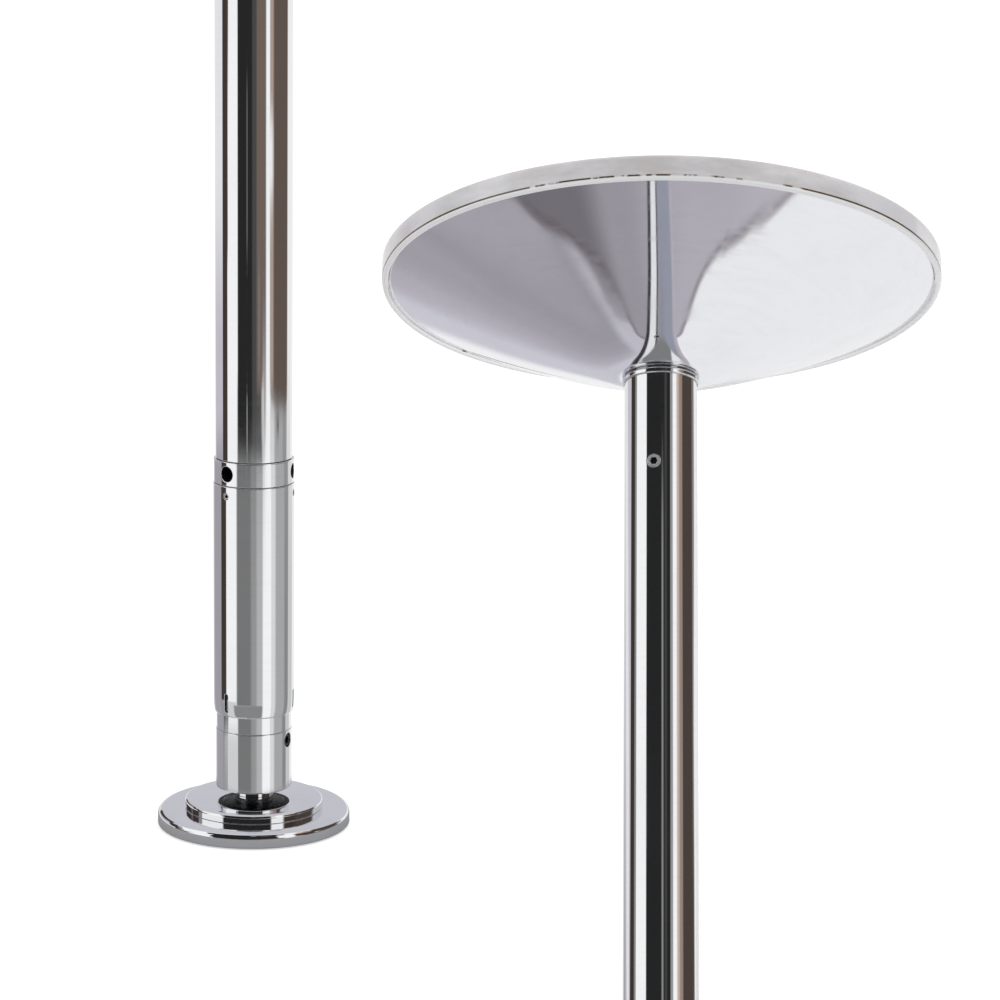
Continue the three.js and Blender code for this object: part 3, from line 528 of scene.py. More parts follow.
class Sheet:
    """A node tree under construction: adds nodes, sets or links their inputs, and does sums."""

    def __init__(self, tree: bpy.types.NodeTree) -> None:
        """Starts on an empty or an existing tree."""
        self.tree = tree

    def node(
        self, kind: str, inputs: Optional[dict[Union[str, int], Value]] = None, **settings: Any
    ) -> Node:
        """Adds a shader node.

        Args:
            kind: The node's type without its ShaderNode prefix.
            inputs: A value or a socket for each input, by its name or number.
            settings: Properties of the node.

        Returns:
            The node.
        """
        made = self.tree.nodes.new("ShaderNode" + kind)
        for key, value in settings.items():
            setattr(made, key, value)
        for key, value in (inputs or {}).items():
            if isinstance(value, Socket):
                self.link(value, made.inputs[key])
            else:
                made.inputs[key].default_value = value
        return made

    def sum(self, operation: str, *values: Value) -> Socket:
        """The result of a Math node on its values."""
        return self.node("Math", dict(enumerate(values)), operation=operation).outputs[0]

    def vector(self, operation: str, *values: Value) -> Socket:
        """The vector that a Vector Math node makes of its values."""
        return self.node("VectorMath", dict(enumerate(values)), operation=operation).outputs[0]

    def scaled(self, vector: Value, by: Value) -> Socket:
        """A vector times a number."""
        return self.node("VectorMath", {0: vector, "Scale": by}, operation="SCALE").outputs[0]

    def dot(self, a: Value, b: Value) -> Socket:
        """The dot product of two vectors."""
        return self.node("VectorMath", {0: a, 1: b}, operation="DOT_PRODUCT").outputs[1]

    def length(self, a: Value, b: Value) -> Socket:
        """The square root of a * a + b * b."""
        return self.sum("SQRT", self.sum("MULTIPLY_ADD", a, a, self.sum("MULTIPLY", b, b)))

    def bearing(self, place: Value, side: float) -> Socket:
        """Degrees round the Z axis from a side: atan2(y, x) less the side's polar angle.

        Args:
            place: A place or a direction.
            side: Polar angle of the side.

        Returns:
            The angle, up to 180 either way.
        """
        parts = self.node("SeparateXYZ", {0: place}).outputs
        polar = self.sum("DEGREES", self.sum("ARCTAN2", parts[1], parts[0]))
        return self.sum("WRAP", self.sum("SUBTRACT", polar, side), 180.0, -180.0)

    def link(self, value: Socket, socket: Socket) -> None:
        """Links a value to a socket."""
        self.tree.links.new(value, socket)

    def step(self, value: Value, low: Value, high: Value, start: Value = 0.0, end: Value = 1.0) -> Socket:
        """A smooth step from start at low to end at high."""
        inputs = {"Value": value, "From Min": low, "From Max": high, "To Min": start, "To Max": end}
        return self.node("MapRange", inputs, interpolation_type="SMOOTHSTEP").outputs[0]

    def mix(self, share: Value, a: Value, b: Value) -> Socket:
        """A colour between a and b."""
        return self.node("Mix", {0: share, 6: a, 7: b}, data_type="RGBA").outputs[2]

    def noise(self, place: Value, scale: float, detail: float = 3.0, rough: float = 0.5) -> Socket:
        """The height of a noise texture at a place."""
        inputs = {"Vector": place, "Scale": scale, "Detail": detail, "Roughness": rough}
        return self.node("TexNoise", inputs).outputs[0]

    def stretched(self, scale: Sequence[float]) -> Socket:
        """Object coordinates, scaled by axis."""
        place = self.node("TexCoord").outputs["Object"]
        return self.node("Mapping", {"Vector": place, "Scale": scale}).outputs[0]


def group_tree(
    name: str, inputs: dict[str, float], outputs: Sequence[str] = ()
) -> tuple[Sheet, Node, Node]:
    """Starts a shader node group.

    Args:
        name: Name of the group.
        inputs: Default value of each float input.
        outputs: Names of the float outputs.

    Returns:
        The sheet to build on, the group's input node and its output node.
    """
    tree = bpy.data.node_groups.new(name, "ShaderNodeTree")
    for label, value in inputs.items():
        tree.interface.new_socket(label, in_out="INPUT", socket_type="NodeSocketFloat").default_value = value
    for label in outputs:
        tree.interface.new_socket(label, in_out="OUTPUT", socket_type="NodeSocketFloat")
    sheet = Sheet(tree)
    return sheet, tree.nodes.new("NodeGroupInput"), tree.nodes.new("NodeGroupOutput")


class Effect(Enum):
    """The shared node groups, by name."""

    RELIEF = "relief"
    TURNING = "turning_marks"
    HANDLING = "handling_haze"
    PANEL = "studio_panel"

    def tree(self) -> bpy.types.NodeTree:
        """The group's tree, made at its first use."""
        return bpy.data.node_groups.get(self.value) or getattr(self, "_" + self.name.lower())()

    def _relief(self) -> bpy.types.NodeTree:
        """The surface's normal + lean + angle * (2 * noise - 1), with a coloured noise as the vector.

        The angle holds at any size of the piece, so that the small second picture shows the same relief.

        Returns:
            The group's tree, with the leaned normal in world space as its output.
        """
        labels = {"Angle": 0.002, "Scale": 40.0, "Detail": 1.0, "Along": 1.0}
        sheet, taken, given = group_tree(self.value, labels)
        sheet.tree.interface.new_socket("Lean", in_out="INPUT", socket_type="NodeSocketVector")
        sheet.tree.interface.new_socket("Normal", in_out="OUTPUT", socket_type="NodeSocketVector")
        place = sheet.node("TexCoord")
        scale = sheet.node("CombineXYZ", {0: 1.0, 1: 1.0, 2: taken.outputs["Along"]}).outputs[0]
        mapped = sheet.vector("MULTIPLY", place.outputs["Object"], scale)
        inputs = {"Vector": mapped, "Scale": taken.outputs["Scale"], "Detail": taken.outputs["Detail"]}
        noise = sheet.node("TexNoise", inputs).outputs["Color"]
        waves = sheet.vector("MULTIPLY_ADD", noise, (2, 2, 2), (-1, -1, -1))
        lean = sheet.vector("ADD", sheet.scaled(waves, taken.outputs["Angle"]), taken.outputs["Lean"])
        leaned = sheet.vector("ADD", place.outputs["Normal"], lean)
        spaces = {"vector_type": "NORMAL", "convert_from": "OBJECT", "convert_to": "WORLD"}
        sheet.link(sheet.node("VectorTransform", {0: leaned}, **spaces).outputs[0], given.inputs[0])
        return sheet.tree

    def _turning(self) -> bpy.types.NodeTree:
        """Rings of a turning tool round the Z axis: noise stretched flat along X and Y.

        Returns:
            The group's tree, with the rings' shade as its output.
        """
        sheet, taken, given = group_tree(self.value, {"Pitch": 1.0}, ["Shade"])
        place = sheet.stretched((1.2, 1.2, 140))
        rings = sheet.noise(sheet.scaled(place, taken.outputs[0]), 22, 2)
        sheet.link(sheet.step(rings, 0.3, 0.7), given.inputs[0])
        return sheet.tree

    def _handling(self) -> bpy.types.NodeTree:
        """Faint patches where hands and cloths have dulled the plate: the more of two noises.

        Returns:
            The group's tree, with the patches' mask as its output.
        """
        sheet, taken, given = group_tree(self.value, {"Amount": 1.0}, ["Mask"])
        patches = sheet.step(sheet.noise(sheet.stretched((1, 1, 0.6)), 16, 5, 0.62), 0.46, 0.72)
        wipes = sheet.step(sheet.noise(sheet.stretched((1, 1, 9)), 46, 3, 0.6), 0.42, 0.75)
        more = sheet.sum("MAXIMUM", patches, sheet.sum("MULTIPLY", wipes, 0.6))
        sheet.link(sheet.sum("MULTIPLY", more, taken.outputs[0]), given.inputs[0])
        return sheet.tree

    def _panel(self) -> bpy.types.NodeTree:
        """A rounded panel on the sky of the studio, in degrees round and up.

        The mask fades over the distance to a rounded rectangle: with q the distance past its sides less
        its corners' radius, that distance is |max(q, 0)| + min(max(q), 0) less the radius.

        Returns:
            The group's tree.
        """
        labels = {
            "Round": 0.0, "Up": 0.0, "Middle": 0.0, "Half width": 10.0,
            "Low": -10.0, "High": 10.0, "Corner": 1.0, "Softness": 1.0,
        }
        sheet, taken, given = group_tree(self.value, labels, ["Mask"])
        at = {label: taken.outputs[label] for label in labels}
        off = sheet.sum("WRAP", sheet.sum("SUBTRACT", at["Round"], at["Middle"]), 180.0, -180.0)
        aside = sheet.sum("SUBTRACT", sheet.sum("ABSOLUTE", off), at["Half width"])
        across = sheet.sum("ADD", aside, at["Corner"])
        middle = sheet.sum("MULTIPLY", sheet.sum("ADD", at["Low"], at["High"]), 0.5)
        half = sheet.sum("MULTIPLY", sheet.sum("SUBTRACT", at["High"], at["Low"]), 0.5)
        rise = sheet.sum("ABSOLUTE", sheet.sum("SUBTRACT", at["Up"], middle))
        along = sheet.sum("ADD", sheet.sum("SUBTRACT", rise, half), at["Corner"])
        outside = sheet.length(sheet.sum("MAXIMUM", across, 0.0), sheet.sum("MAXIMUM", along, 0.0))
        inside = sheet.sum("MINIMUM", sheet.sum("MAXIMUM", across, along), 0.0)
        distance = sheet.sum("SUBTRACT", sheet.sum("ADD", outside, inside), at["Corner"])
        back = sheet.sum("MULTIPLY", at["Softness"], -1.0)
        sheet.link(sheet.step(distance, back, at["Softness"], 1.0, 0.0), given.inputs[0])
        return sheet.tree

    def use(self, sheet: Sheet, **values: Value) -> Node:
        """Places the group on a sheet.

        Args:
            sheet: The sheet.
            values: The group's inputs by name, with an underscore for each space.

        Returns:
            The group's node.
        """
        made = sheet.tree.nodes.new("ShaderNodeGroup")
        made.node_tree = self.tree()
        for key, value in values.items():
            socket = made.inputs[key.replace("_", " ")]
            if isinstance(value, Socket):
                sheet.link(value, socket)
            else:
                socket.default_value = value
        return made


def shaded(colour: Colour, share: float) -> tuple[float, float, float, float]:
    """A colour times a share, up to 1, as red, green, blue and alpha."""
    red, green, blue = (min(1.0, c * share) for c in colour)
    return red, green, blue, 1.0


@dataclass(frozen=True)
class Finish:
    """A finish that becomes a material at its first use."""

    name: str
    colour: Colour
    roughness: float
    metallic: float = 1.0

    def material(self) -> bpy.types.Material:
        """The finish's material, made at its first use.

        Returns:
            The material.
        """
        found = bpy.data.materials.get(self.name)
        if found:
            return found
        made = bpy.data.materials.new(self.name)
        made.use_nodes = True
        sheet = Sheet(made.node_tree)
        shader = made.node_tree.nodes["Principled BSDF"]
        shader.inputs["Metallic"].default_value = self.metallic
        shader.inputs["Roughness"].default_value = self.roughness
        shader.inputs["Base Color"].default_value = (*self.colour, 1)
        self.dress(sheet, shader)
        return made

    def dress(self, sheet: Sheet, shader: Node) -> None:
        """Links the finish's own nodes to the shader."""

    def lean(self, sheet: Sheet, shader: Node, **relief: Value) -> None:
        """Feeds the relief group's normal to the shader, with the group's inputs by name."""
        sheet.link(Effect.RELIEF.use(sheet, **relief).outputs[0], shader.inputs["Normal"])


@dataclass(frozen=True)
class Plate(Finish):
    """Mirror chrome plate with the faint waves and haze of a buffed part."""

    wave: float = 0.0012
    wave_scale: float = 30.0
    haze: float = 0.05
    dulled: float = 0.96  # the tint's share that is left under the haze

    def dress(self, sheet: Sheet, shader: Node) -> None:
        """Haze lifts the roughness and dulls the tint a little, and long low waves lean the normal.

        Args:
            sheet: Sheet of the material.
            shader: Its Principled BSDF.
        """
        haze = Effect.HANDLING.use(sheet, Amount=1.0).outputs[0]
        rough = sheet.sum("MULTIPLY_ADD", haze, self.haze, self.roughness)
        sheet.link(rough, shader.inputs["Roughness"])
        tint = sheet.mix(haze, (*self.colour, 1), shaded(self.colour, self.dulled))
        sheet.link(tint, shader.inputs["Base Color"])
        self.lean(sheet, shader, Angle=self.wave, Scale=self.wave_scale, Along=0.35, **self.dish(sheet))

    def dish(self, sheet: Sheet) -> dict[str, Value]:
        """The lean of a surface that isn't quite what its outline says; none on turned parts."""
        return {}


@dataclass(frozen=True)
class Pressed(Plate):
    """Chrome plate on a pressed sheet, which leans outwards or inwards of its drawn outline by radius."""

    leans: tuple[tuple[float, float], ...] = ()  # radius in millimetres, and change of slope
    reach: float = 0.2  # metres from the axis that the curve of leans spans

    def dish(self, sheet: Sheet) -> dict[str, Value]:
        """The direction from the axis times the change of slope, which a curve gives by radius.

        Args:
            sheet: Sheet of the material.

        Returns:
            The lean, by the name of the relief group's input.
        """
        flat = sheet.vector("MULTIPLY", sheet.node("TexCoord").outputs["Object"], (1, 1, 0))
        radius = sheet.node("VectorMath", {0: flat}, operation="LENGTH").outputs[1]
        curve = sheet.node("FloatCurve", {"Value": sheet.sum("MULTIPLY", radius, 1 / self.reach)})
        line = curve.mapping.curves[0]
        spots = [(r * MM / self.reach, 0.5 + change) for r, change in self.leans]
        line.points[0].location, line.points[1].location = spots[0], spots[-1]
        for spot in spots[1:-1]:
            line.points.new(*spot)
        curve.mapping.update()
        change = sheet.sum("SUBTRACT", curve.outputs[0], 0.5)
        return {"Lean": sheet.scaled(sheet.vector("NORMALIZE", flat), change)}


@dataclass(frozen=True)
class MachinedSteel(Finish):
    """Steel with turning marks."""

    groove: float = 0.78  # the tint's share that is left in the grooves
    spread: float = 0.12  # how much rougher the grooves are than the ridges

    def dress(self, sheet: Sheet, shader: Node) -> None:
        """Rings shade the colour and the roughness, and finer ones lean the normal.

        Args:
            sheet: Sheet of the material.
            shader: Its Principled BSDF.
        """
        marks = Effect.TURNING.use(sheet, Pitch=1.0).outputs[0]
        tint = sheet.mix(marks, shaded(self.colour, self.groove), (*self.colour, 1))
        sheet.link(tint, shader.inputs["Base Color"])
        rough = sheet.sum("MULTIPLY_ADD", marks, -self.spread, self.roughness + self.spread / 2)
        sheet.link(rough, shader.inputs["Roughness"])
        self.lean(sheet, shader, Angle=0.02, Scale=30.0, Detail=2.0, Along=110.0)


@dataclass(frozen=True)
class Grained(Finish):
    """A cast, blackened or moulded surface with a fine grain."""

    scale: float = 900.0
    depth: float = 0.06
    spread: float = 0.25

    def dress(self, sheet: Sheet, shader: Node) -> None:
        """Grain and slow patches shade the colour, patches the roughness, and grain leans the normal.

        Args:
            sheet: Sheet of the material.
            shader: Its Principled BSDF.
        """
        place = sheet.stretched((1, 1, 1))
        patch = sheet.noise(place, self.scale / 18, 3)
        sheet.link(self.tint(sheet, place, patch), shader.inputs["Base Color"])
        sheet.link(sheet.sum("MULTIPLY_ADD", patch, 0.2, self.roughness - 0.1), shader.inputs["Roughness"])
        self.lean(sheet, shader, Angle=self.depth, Scale=self.scale, Detail=3.0)

    def tint(self, sheet: Sheet, place: Socket, patch: Socket) -> Socket:
        """The colour, darker and paler by the spread: 0.4 * grain + 0.6 * patch.

        Args:
            sheet: Sheet of the material.
            place: Object coordinates.
            patch: The slower noise.

        Returns:
            The colour over the surface.
        """
        grain = sheet.noise(place, self.scale, 4)
        both = sheet.sum("MULTIPLY_ADD", grain, 0.4, sheet.sum("MULTIPLY", patch, 0.6))
        dark, pale = (shaded(self.colour, 1 + change) for change in (-self.spread, self.spread))
        return sheet.mix(sheet.step(both, 0.3, 0.7), dark, pale)


@dataclass(frozen=True)
class MilkyTrim(Grained):
    """Soft translucent trim: a greyer wall over a pale lip, partly thinner plastic and partly painted light
    from below, parted by a joint with dashes of painted gap shadow.
    """

    joint: float = 2.2223  # its height in metres
    clean_side: float = 223.0  # polar angle between the two stretches of painted gap shadow
    stained: Colour = (0.48, 0.46, 0.47)
    # pale lip: thinner clear plastic, and painted light on its downward face
    lip: Colour = (0.93, 0.93, 0.94)
    # near-black painted shadow in the gap between trim and dome
    dirt: Colour = (0.03, 0.025, 0.022)

    def tint(self, sheet: Sheet, place: Socket, patch: Socket) -> Socket:
        """Slow stains on the wall, a pale lip under the joint that is partly painted light from below, and
        dashes of painted gap shadow along it.

        Args:
            sheet: Sheet of the material.
            place: Object coordinates.
            patch: The slower noise, which this finish doesn't use for its colour.

        Returns:
            The colour over the surface.
        """
        height = sheet.node("SeparateXYZ", {0: place}).outputs[2]
        stain = sheet.step(sheet.noise(sheet.stretched((1, 1, 3)), 11, 4, 0.6), 0.4, 0.66)
        wall = sheet.mix(stain, (*self.colour, 1), (*self.stained, 1))
        # below the joint the lip takes its pale colour, partly painted light from below
        under = sheet.step(height, self.joint - 0.0008, self.joint + 0.0002, 1.0, 0.0)
        wall_and_lit_lip = sheet.mix(under, wall, (*self.lip, 1))
        off = sheet.sum("ABSOLUTE", sheet.sum("SUBTRACT", height, self.joint))
        near = sheet.step(off, 0.00035, 0.0007, 1.0, 0.0)
        # dashes of painted gap shadow along the joint
        dashes = sheet.step(self.soiling(sheet, place), 1.0, 1.1)
        return sheet.mix(sheet.sum("MULTIPLY", near, dashes), wall_and_lit_lip, (*self.dirt, 1))

    def soiling(self, sheet: Sheet, place: Socket) -> Socket:
        """How much painted gap shadow there is: a quick and a slow noise, more to both sides and least at
        the back.

        Args:
            sheet: Sheet of the material.
            place: Object coordinates.

        Returns:
            The amount, which shows where it is over 1.
        """
        side = sheet.sum("ABSOLUTE", sheet.bearing(place, self.clean_side))
        more, less = sheet.step(side, 22, 30, 0.0, 0.32), sheet.step(side, 76, 100, 0.0, -0.45)
        noise = sheet.sum("ADD", sheet.noise(place, 130, 2), sheet.noise(place, 9, 1))
        return sheet.sum("ADD", sheet.sum("ADD", more, less), noise)

    def dress(self, sheet: Sheet, shader: Node) -> None:
        """A grained surface that lets some light in, under a thin gloss.

        Args:
            sheet: Sheet of the material.
            shader: Its Principled BSDF.
        """
        super().dress(sheet, shader)
        shader.inputs["Subsurface Weight"].default_value = 0.15
        shader.inputs["Subsurface Scale"].default_value = 0.002
        shader.inputs["Coat Weight"].default_value = 0.8
        shader.inputs["Coat Roughness"].default_value = 0.08


class Finishes:
    """The pole's finishes."""

    CHROME = Plate("chrome_plate", (0.88, 0.885, 0.90), 0.028)
    DOME = Pressed(
        "pressed_chrome", (0.86, 0.865, 0.885), 0.03, wave=0.02, wave_scale=9.0, haze=0.05,
        leans=(
            (24, -0.19), (30, -0.075), (38, 0.036), (50, 0.076),
            (60, 0.069), (80, 0.044), (120, -0.006), (171, -0.069),
        ),
    )
    SCREW = MachinedSteel("ground_steel", (0.95, 0.95, 0.95), 0.5)
    STEEL = MachinedSteel("turned_steel", (0.52, 0.53, 0.55), 0.34)
    # Near-black painted shade for hole bores, hex sockets and the bearing housing's underside, not a colour
    # of the metal.
    BORE = Grained("recess_painted_shade", (0.012, 0.012, 0.013), 0.5, 0.6, scale=700)
    BLACK = Grained("black_oxide", (0.03, 0.03, 0.033), 0.42, 0.7, scale=1200)
    ALUMINIUM = Grained("cast_aluminium", (0.62, 0.63, 0.65), 0.42, scale=500, depth=0.12, spread=0.12)
    RUBBER = Grained("soft_rubber", (0.02, 0.02, 0.021), 0.75, 0.0, scale=1100)
    TRIM = MilkyTrim("milky_trim", (0.7, 0.69, 0.72), 0.3, 0.0, scale=60, depth=0.03)


class Slot(Enum):
    """The record's material slots."""

    CHROME = "chrome"
    STEEL = "steel"
    ALUMINIUM = "aluminium"
    BLACK_STEEL = "black_steel"
    RUBBER = "rubber"
    CLEAR_PVC = "clear_pvc"


HIDDEN_FINISH = {  # what dresses the hidden nodes of each slot
    Slot.CHROME: Finishes.CHROME, Slot.STEEL: Finishes.STEEL, Slot.ALUMINIUM: Finishes.ALUMINIUM,
    Slot.BLACK_STEEL: Finishes.BLACK, Slot.RUBBER: Finishes.RUBBER, Slot.CLEAR_PVC: Finishes.TRIM,
}


@dataclass
class Assembly:
    """A group of pieces that ride on one CAD body."""

    body: str = ""

    def fit(
        self,
        skin: Skin,
        name: str,
        slot: Slot,
        finishes: Sequence[Finish],
        body: Optional[str] = None,
    ) -> bpy.types.Object:
        """Builds a piece in place of its CAD node and lets it ride on its body.

        Args:
            skin: The piece's skin.
            name: Name of the CAD node that it stands for.
            slot: Material slot of the record. Not used.
            finishes: Finishes in the order of the skin's numbers.
            body: CAD body that it rides on, by default the assembly's.

        Returns:
            The piece.
        """
        made = skin.build(name + "_fine", [f.material() for f in finishes])
        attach(made, body or self.body)
        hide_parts(name)
        log.info("%s: %d faces", made.name, len(made.data.polygons))
        return made


# ---------------------------------------------------------------- sub-assemblies, from the floor up


@dataclass
class FloorBase(Assembly):
    """Floor pad, base plate, domed boss and the spindle's neck."""

    body: str = "base"
    radius: float = 57.0
    rim_bottom: float = 0.6
    top: float = 10.5
    bolt_bore: float = 5.3
    pocket_radius: float = 12.0
    pocket_top: float = 6.5
    recess_radius: float = 50.1
    recess_top: float = 3.7
    pad_bore: float = 14.0
    pad_radius: float = 50.0
    pad_top: float = 3.6
    grooves: tuple[float, ...] = (24.0, 33.0, 42.0)
    groove_half: float = 1.5
    groove_depth: float = 0.8
    boss_radius: float = 41.0
    boss_bottom: float = 10.6
    boss_edge: float = 16.1
    boss_top: float = 18.1
    crown_power: float = 1.74
    neck_bore: float = 11.1
    neck_radius: float = 11.0
    neck_top: float = 26.0
    seat_radius: float = 10.0  # where the bearings sit
    seat_top: float = 44.2
    thread_radius: float = 9.0
    thread_top: float = 56.7
    tapping_radius: float = 5.1
    tapping_top: float = 34.9

    def build(self) -> None:
        """Builds the pieces of the base."""
        chrome = (Finishes.CHROME, Finishes.BORE)
        self.fit(Turned(self.pad()).skin(), "floor_pad", Slot.RUBBER, (Finishes.RUBBER,))
        self.fit(Turned(self.plate()).skin(), "base_plate", Slot.CHROME, chrome)
        self.fit(Turned(self.boss()).skin(), "base_boss", Slot.CHROME, chrome)
        self.fit(Turned(self.spindle(), columns=180).skin(), "spindle", Slot.STEEL, (Finishes.CHROME,))

    def pad(self) -> np.ndarray:
        """A flat ring with shallow grooves under it.

        Returns:
            Radius and height of each point of the outline.
        """
        w, d = self.groove_half, self.groove_depth
        steps = ((-w, 0), (-w, d), (w, d), (w, 0))
        grooves = [(r + x, z, 0.2) for r in self.grooves for x, z in steps]
        return soften([
            (self.pad_bore, self.pad_top, 0.4), (self.pad_bore, 0, 0.4), *grooves,
            (self.pad_radius, 0, 0.4), (self.pad_radius, self.pad_top, 0.4),
        ], 3, 0.2)

    def plate(self) -> np.ndarray:
        """A disc with a rounded top edge, a recess for the pad and a pocket for the bolt.

        Returns:
            Radius and height of each point of the outline.
        """
        return soften([
            (self.bolt_bore, self.top, 0.3), (self.bolt_bore, self.pocket_top, 0.3),
            (self.pocket_radius, self.pocket_top, 0.3), (self.pocket_radius, self.recess_top, 0.3),
            (self.recess_radius, self.recess_top, 0.3), (self.recess_radius, self.rim_bottom, 0.3),
            (self.radius, self.rim_bottom, 0.8), (self.radius, self.top, 4.5),
        ], 12)

    def boss(self) -> np.ndarray:
        """A disc whose top rises from its rounded edge to the neck.

        Returns:
            Radius and height of each point of the outline.
        """
        share = np.linspace(0, 1, 40)[1:-1]
        inner, outer = self.neck_bore + 0.5, self.boss_radius - 2.4
        crown = [(inner + (outer - inner) * s, self.crown(s)) for s in share]
        return soften([
            (self.neck_bore, self.boss_bottom, 0.2), (self.neck_bore, self.boss_top, 0.5), *crown,
            (self.boss_radius, self.boss_edge, 2.2), (self.boss_radius, self.boss_bottom, 0.3),
        ], 12, 0.15)

    def crown(self, share: float) -> float:
        """Height of the boss's top, at a share of the way out: edge + rise * (1 - share^power)."""
        return self.boss_edge + (self.boss_top - self.boss_edge) * (1 - share**self.crown_power)

    def spindle(self) -> np.ndarray:
        """The neck, the bearings' seat and the nut's thread, as plain steps.

        Returns:
            Radius and height of each point of the outline.
        """
        return soften([
            (self.tapping_radius, self.boss_bottom, 0.2), (self.neck_radius, self.boss_bottom, 0.3),
            (self.neck_radius, self.neck_top, 0.3), (self.seat_radius, self.neck_top, 0.1),
            (self.seat_radius, self.seat_top, 0.2), (self.thread_radius, self.seat_top, 0.1),
            (self.thread_radius, self.thread_top, 0.6), (0, self.thread_top),
            (0, self.tapping_top), (self.tapping_radius, self.tapping_top, 0.2),
        ], 4, 0.1)


@dataclass
class Swivel(Assembly):
    """Bearing housing with its lock screw, and the jack tube with its keyways."""

    body: str = "swivel"
    radius: float = 22.5
    bottom: float = 23.3
    seam: float = 59.3
    seat_radius: float = 18.5  # round the bearings
    seat_top: float = 44.3
    groove_low: float = 24.95
    groove_high: float = 26.05
    cavity_radius: float = 15.3
    spigot_radius: float = 20.1
    spigot_top: float = 72.0
    lock_height: float = 53.2
    lock_angle: float = 287.0
    jack_radius: float = 22.2
    jack_bore: float = 20.2
    jack_bottom: float = 59.4
    jack_top: float = 190.0
    key_height: float = 106.1
    key_angles: tuple[float, ...] = (60.0, 180.0, 300.0)

    def build(self) -> None:
        """Builds the housing, the jack tube and the lock screw."""
        hole = Hole(self.lock_angle, self.lock_height, radius=4.3, lip=0.35, margin=0.75)
        # Rows under the housing take the second finish, a painted shade under it.
        housing = Turned(self.housing(hole), (hole,), split=19, dark_under=self.bottom + 0.05)
        self.fit(housing.skin(), "bearing_housing", Slot.CHROME, (Finishes.CHROME, Finishes.BORE))
        ways = [
            Hole(a, self.key_height, radius=1.45, core=33.85, lip=0.12, depth=1.2, margin=0.6)
            for a in self.key_angles
        ]
        jack = Turned(self.jack(ways[0]), ways, split=21)
        self.fit(jack.skin(), "jack_tube", Slot.CHROME, (Finishes.CHROME, Finishes.STEEL))
        screw = SocketScrew(
            self.lock_angle, self.lock_height, inner=15.7, outer=21.7, radius=4.0, socket=2.4
        )
        finishes = (Finishes.BLACK, Finishes.BORE)
        self.fit(screw.skin(), "spin_lock_screw", Slot.BLACK_STEEL, finishes, body="lock_screw")

    def housing(self, hole: Hole) -> np.ndarray:
        """A cylinder with the bearings' seat, the cavity over them and the spigot of the jack tube.

        Args:
            hole: The lock screw's hole, which both walls have rows beside.

        Returns:
            Radius and height of each point of the outline.
        """
        low, high = self.lock_height - hole.reach, self.lock_height + hole.reach
        return soften([
            (self.seat_radius, self.bottom, 0.2), (self.radius, self.bottom, 0.8),
            *levels(self.radius, low, high, 11),
            (self.radius, self.seam, 0.3), (self.spigot_radius, self.seam, 0.1),
            (self.spigot_radius, self.spigot_top, 0.4), (self.cavity_radius, self.spigot_top, 0.4),
            *levels(self.cavity_radius, high, low, 11),
            (self.cavity_radius, self.seat_top, 0.2), (self.seat_radius, self.seat_top, 0.2),
            *groove(self.seat_radius, -1.0, self.groove_high, self.groove_low),
        ], 6, 0.15)

    def jack(self, way: Hole) -> np.ndarray:
        """A tube whose outer wall has rows beside the keyways.

        Args:
            way: One of the keyways.

        Returns:
            Radius and height of each point of the outline.
        """
        rows = levels(self.jack_radius, way.height - way.reach, way.height + way.reach, 25)
        return soften([
            (self.jack_bore, self.jack_top, 0.3), (self.jack_bore, self.jack_bottom, 0.3),
            (self.jack_radius, self.jack_bottom, 0.25), *rows, (self.jack_radius, self.jack_top, 0.3),
        ])


@dataclass
class Adjuster(Assembly):
    """Adjuster ring with its three bar sockets and the hub that is the jack's nut."""

    body: str = "adjuster"
    radius: float = 23.55
    bottom: float = 208.0
    top: float = 222.2
    bore: float = 11.3
    low_hub: float = 20.0
    high_hub: float = 17.5
    hub_bottom: float = 196.8
    hub_top: float = 239.1
    low_groove: tuple[float, float] = (198.15, 199.25)
    high_groove: tuple[float, float] = (236.65, 237.75)
    socket_angles: tuple[float, ...] = (60.0, 180.0, 300.0)

    def build(self) -> None:
        """Builds the ring."""
        middle = (self.bottom + self.top) / 2
        sockets = [
            Hole(a, middle, radius=4.5, lip=0.45, depth=7.0, margin=0.85) for a in self.socket_angles
        ]
        ring = Turned(self.ring(sockets[0]), sockets, split=21)
        self.fit(ring.skin(), "adjuster_ring", Slot.CHROME, (Finishes.CHROME, Finishes.BORE))

    def ring(self, socket: Hole) -> np.ndarray:
        """The hub below, the ring, and the hub above, with a groove for a snap ring in each hub.

        Args:
            socket: One of the bar sockets, which the ring's wall has rows beside.

        Returns:
            Radius and height of each point of the outline.
        """
        rows = levels(self.radius, socket.height - socket.reach, socket.height + socket.reach, 13)
        return soften([
            (self.bore, self.hub_top, 0.4), (self.bore, self.hub_bottom, 0.4),
            (self.low_hub, self.hub_bottom, 0.4), *groove(self.low_hub, 1.0, *self.low_groove),
            (self.low_hub, self.bottom, 0.1), (self.radius, self.bottom, 0.4), *rows,
            (self.radius, self.top, 0.4), (self.high_hub, self.top, 0.1),
            *groove(self.high_hub, 1.0, *self.high_groove), (self.high_hub, self.hub_top, 0.4),
        ], 6, 0.15)


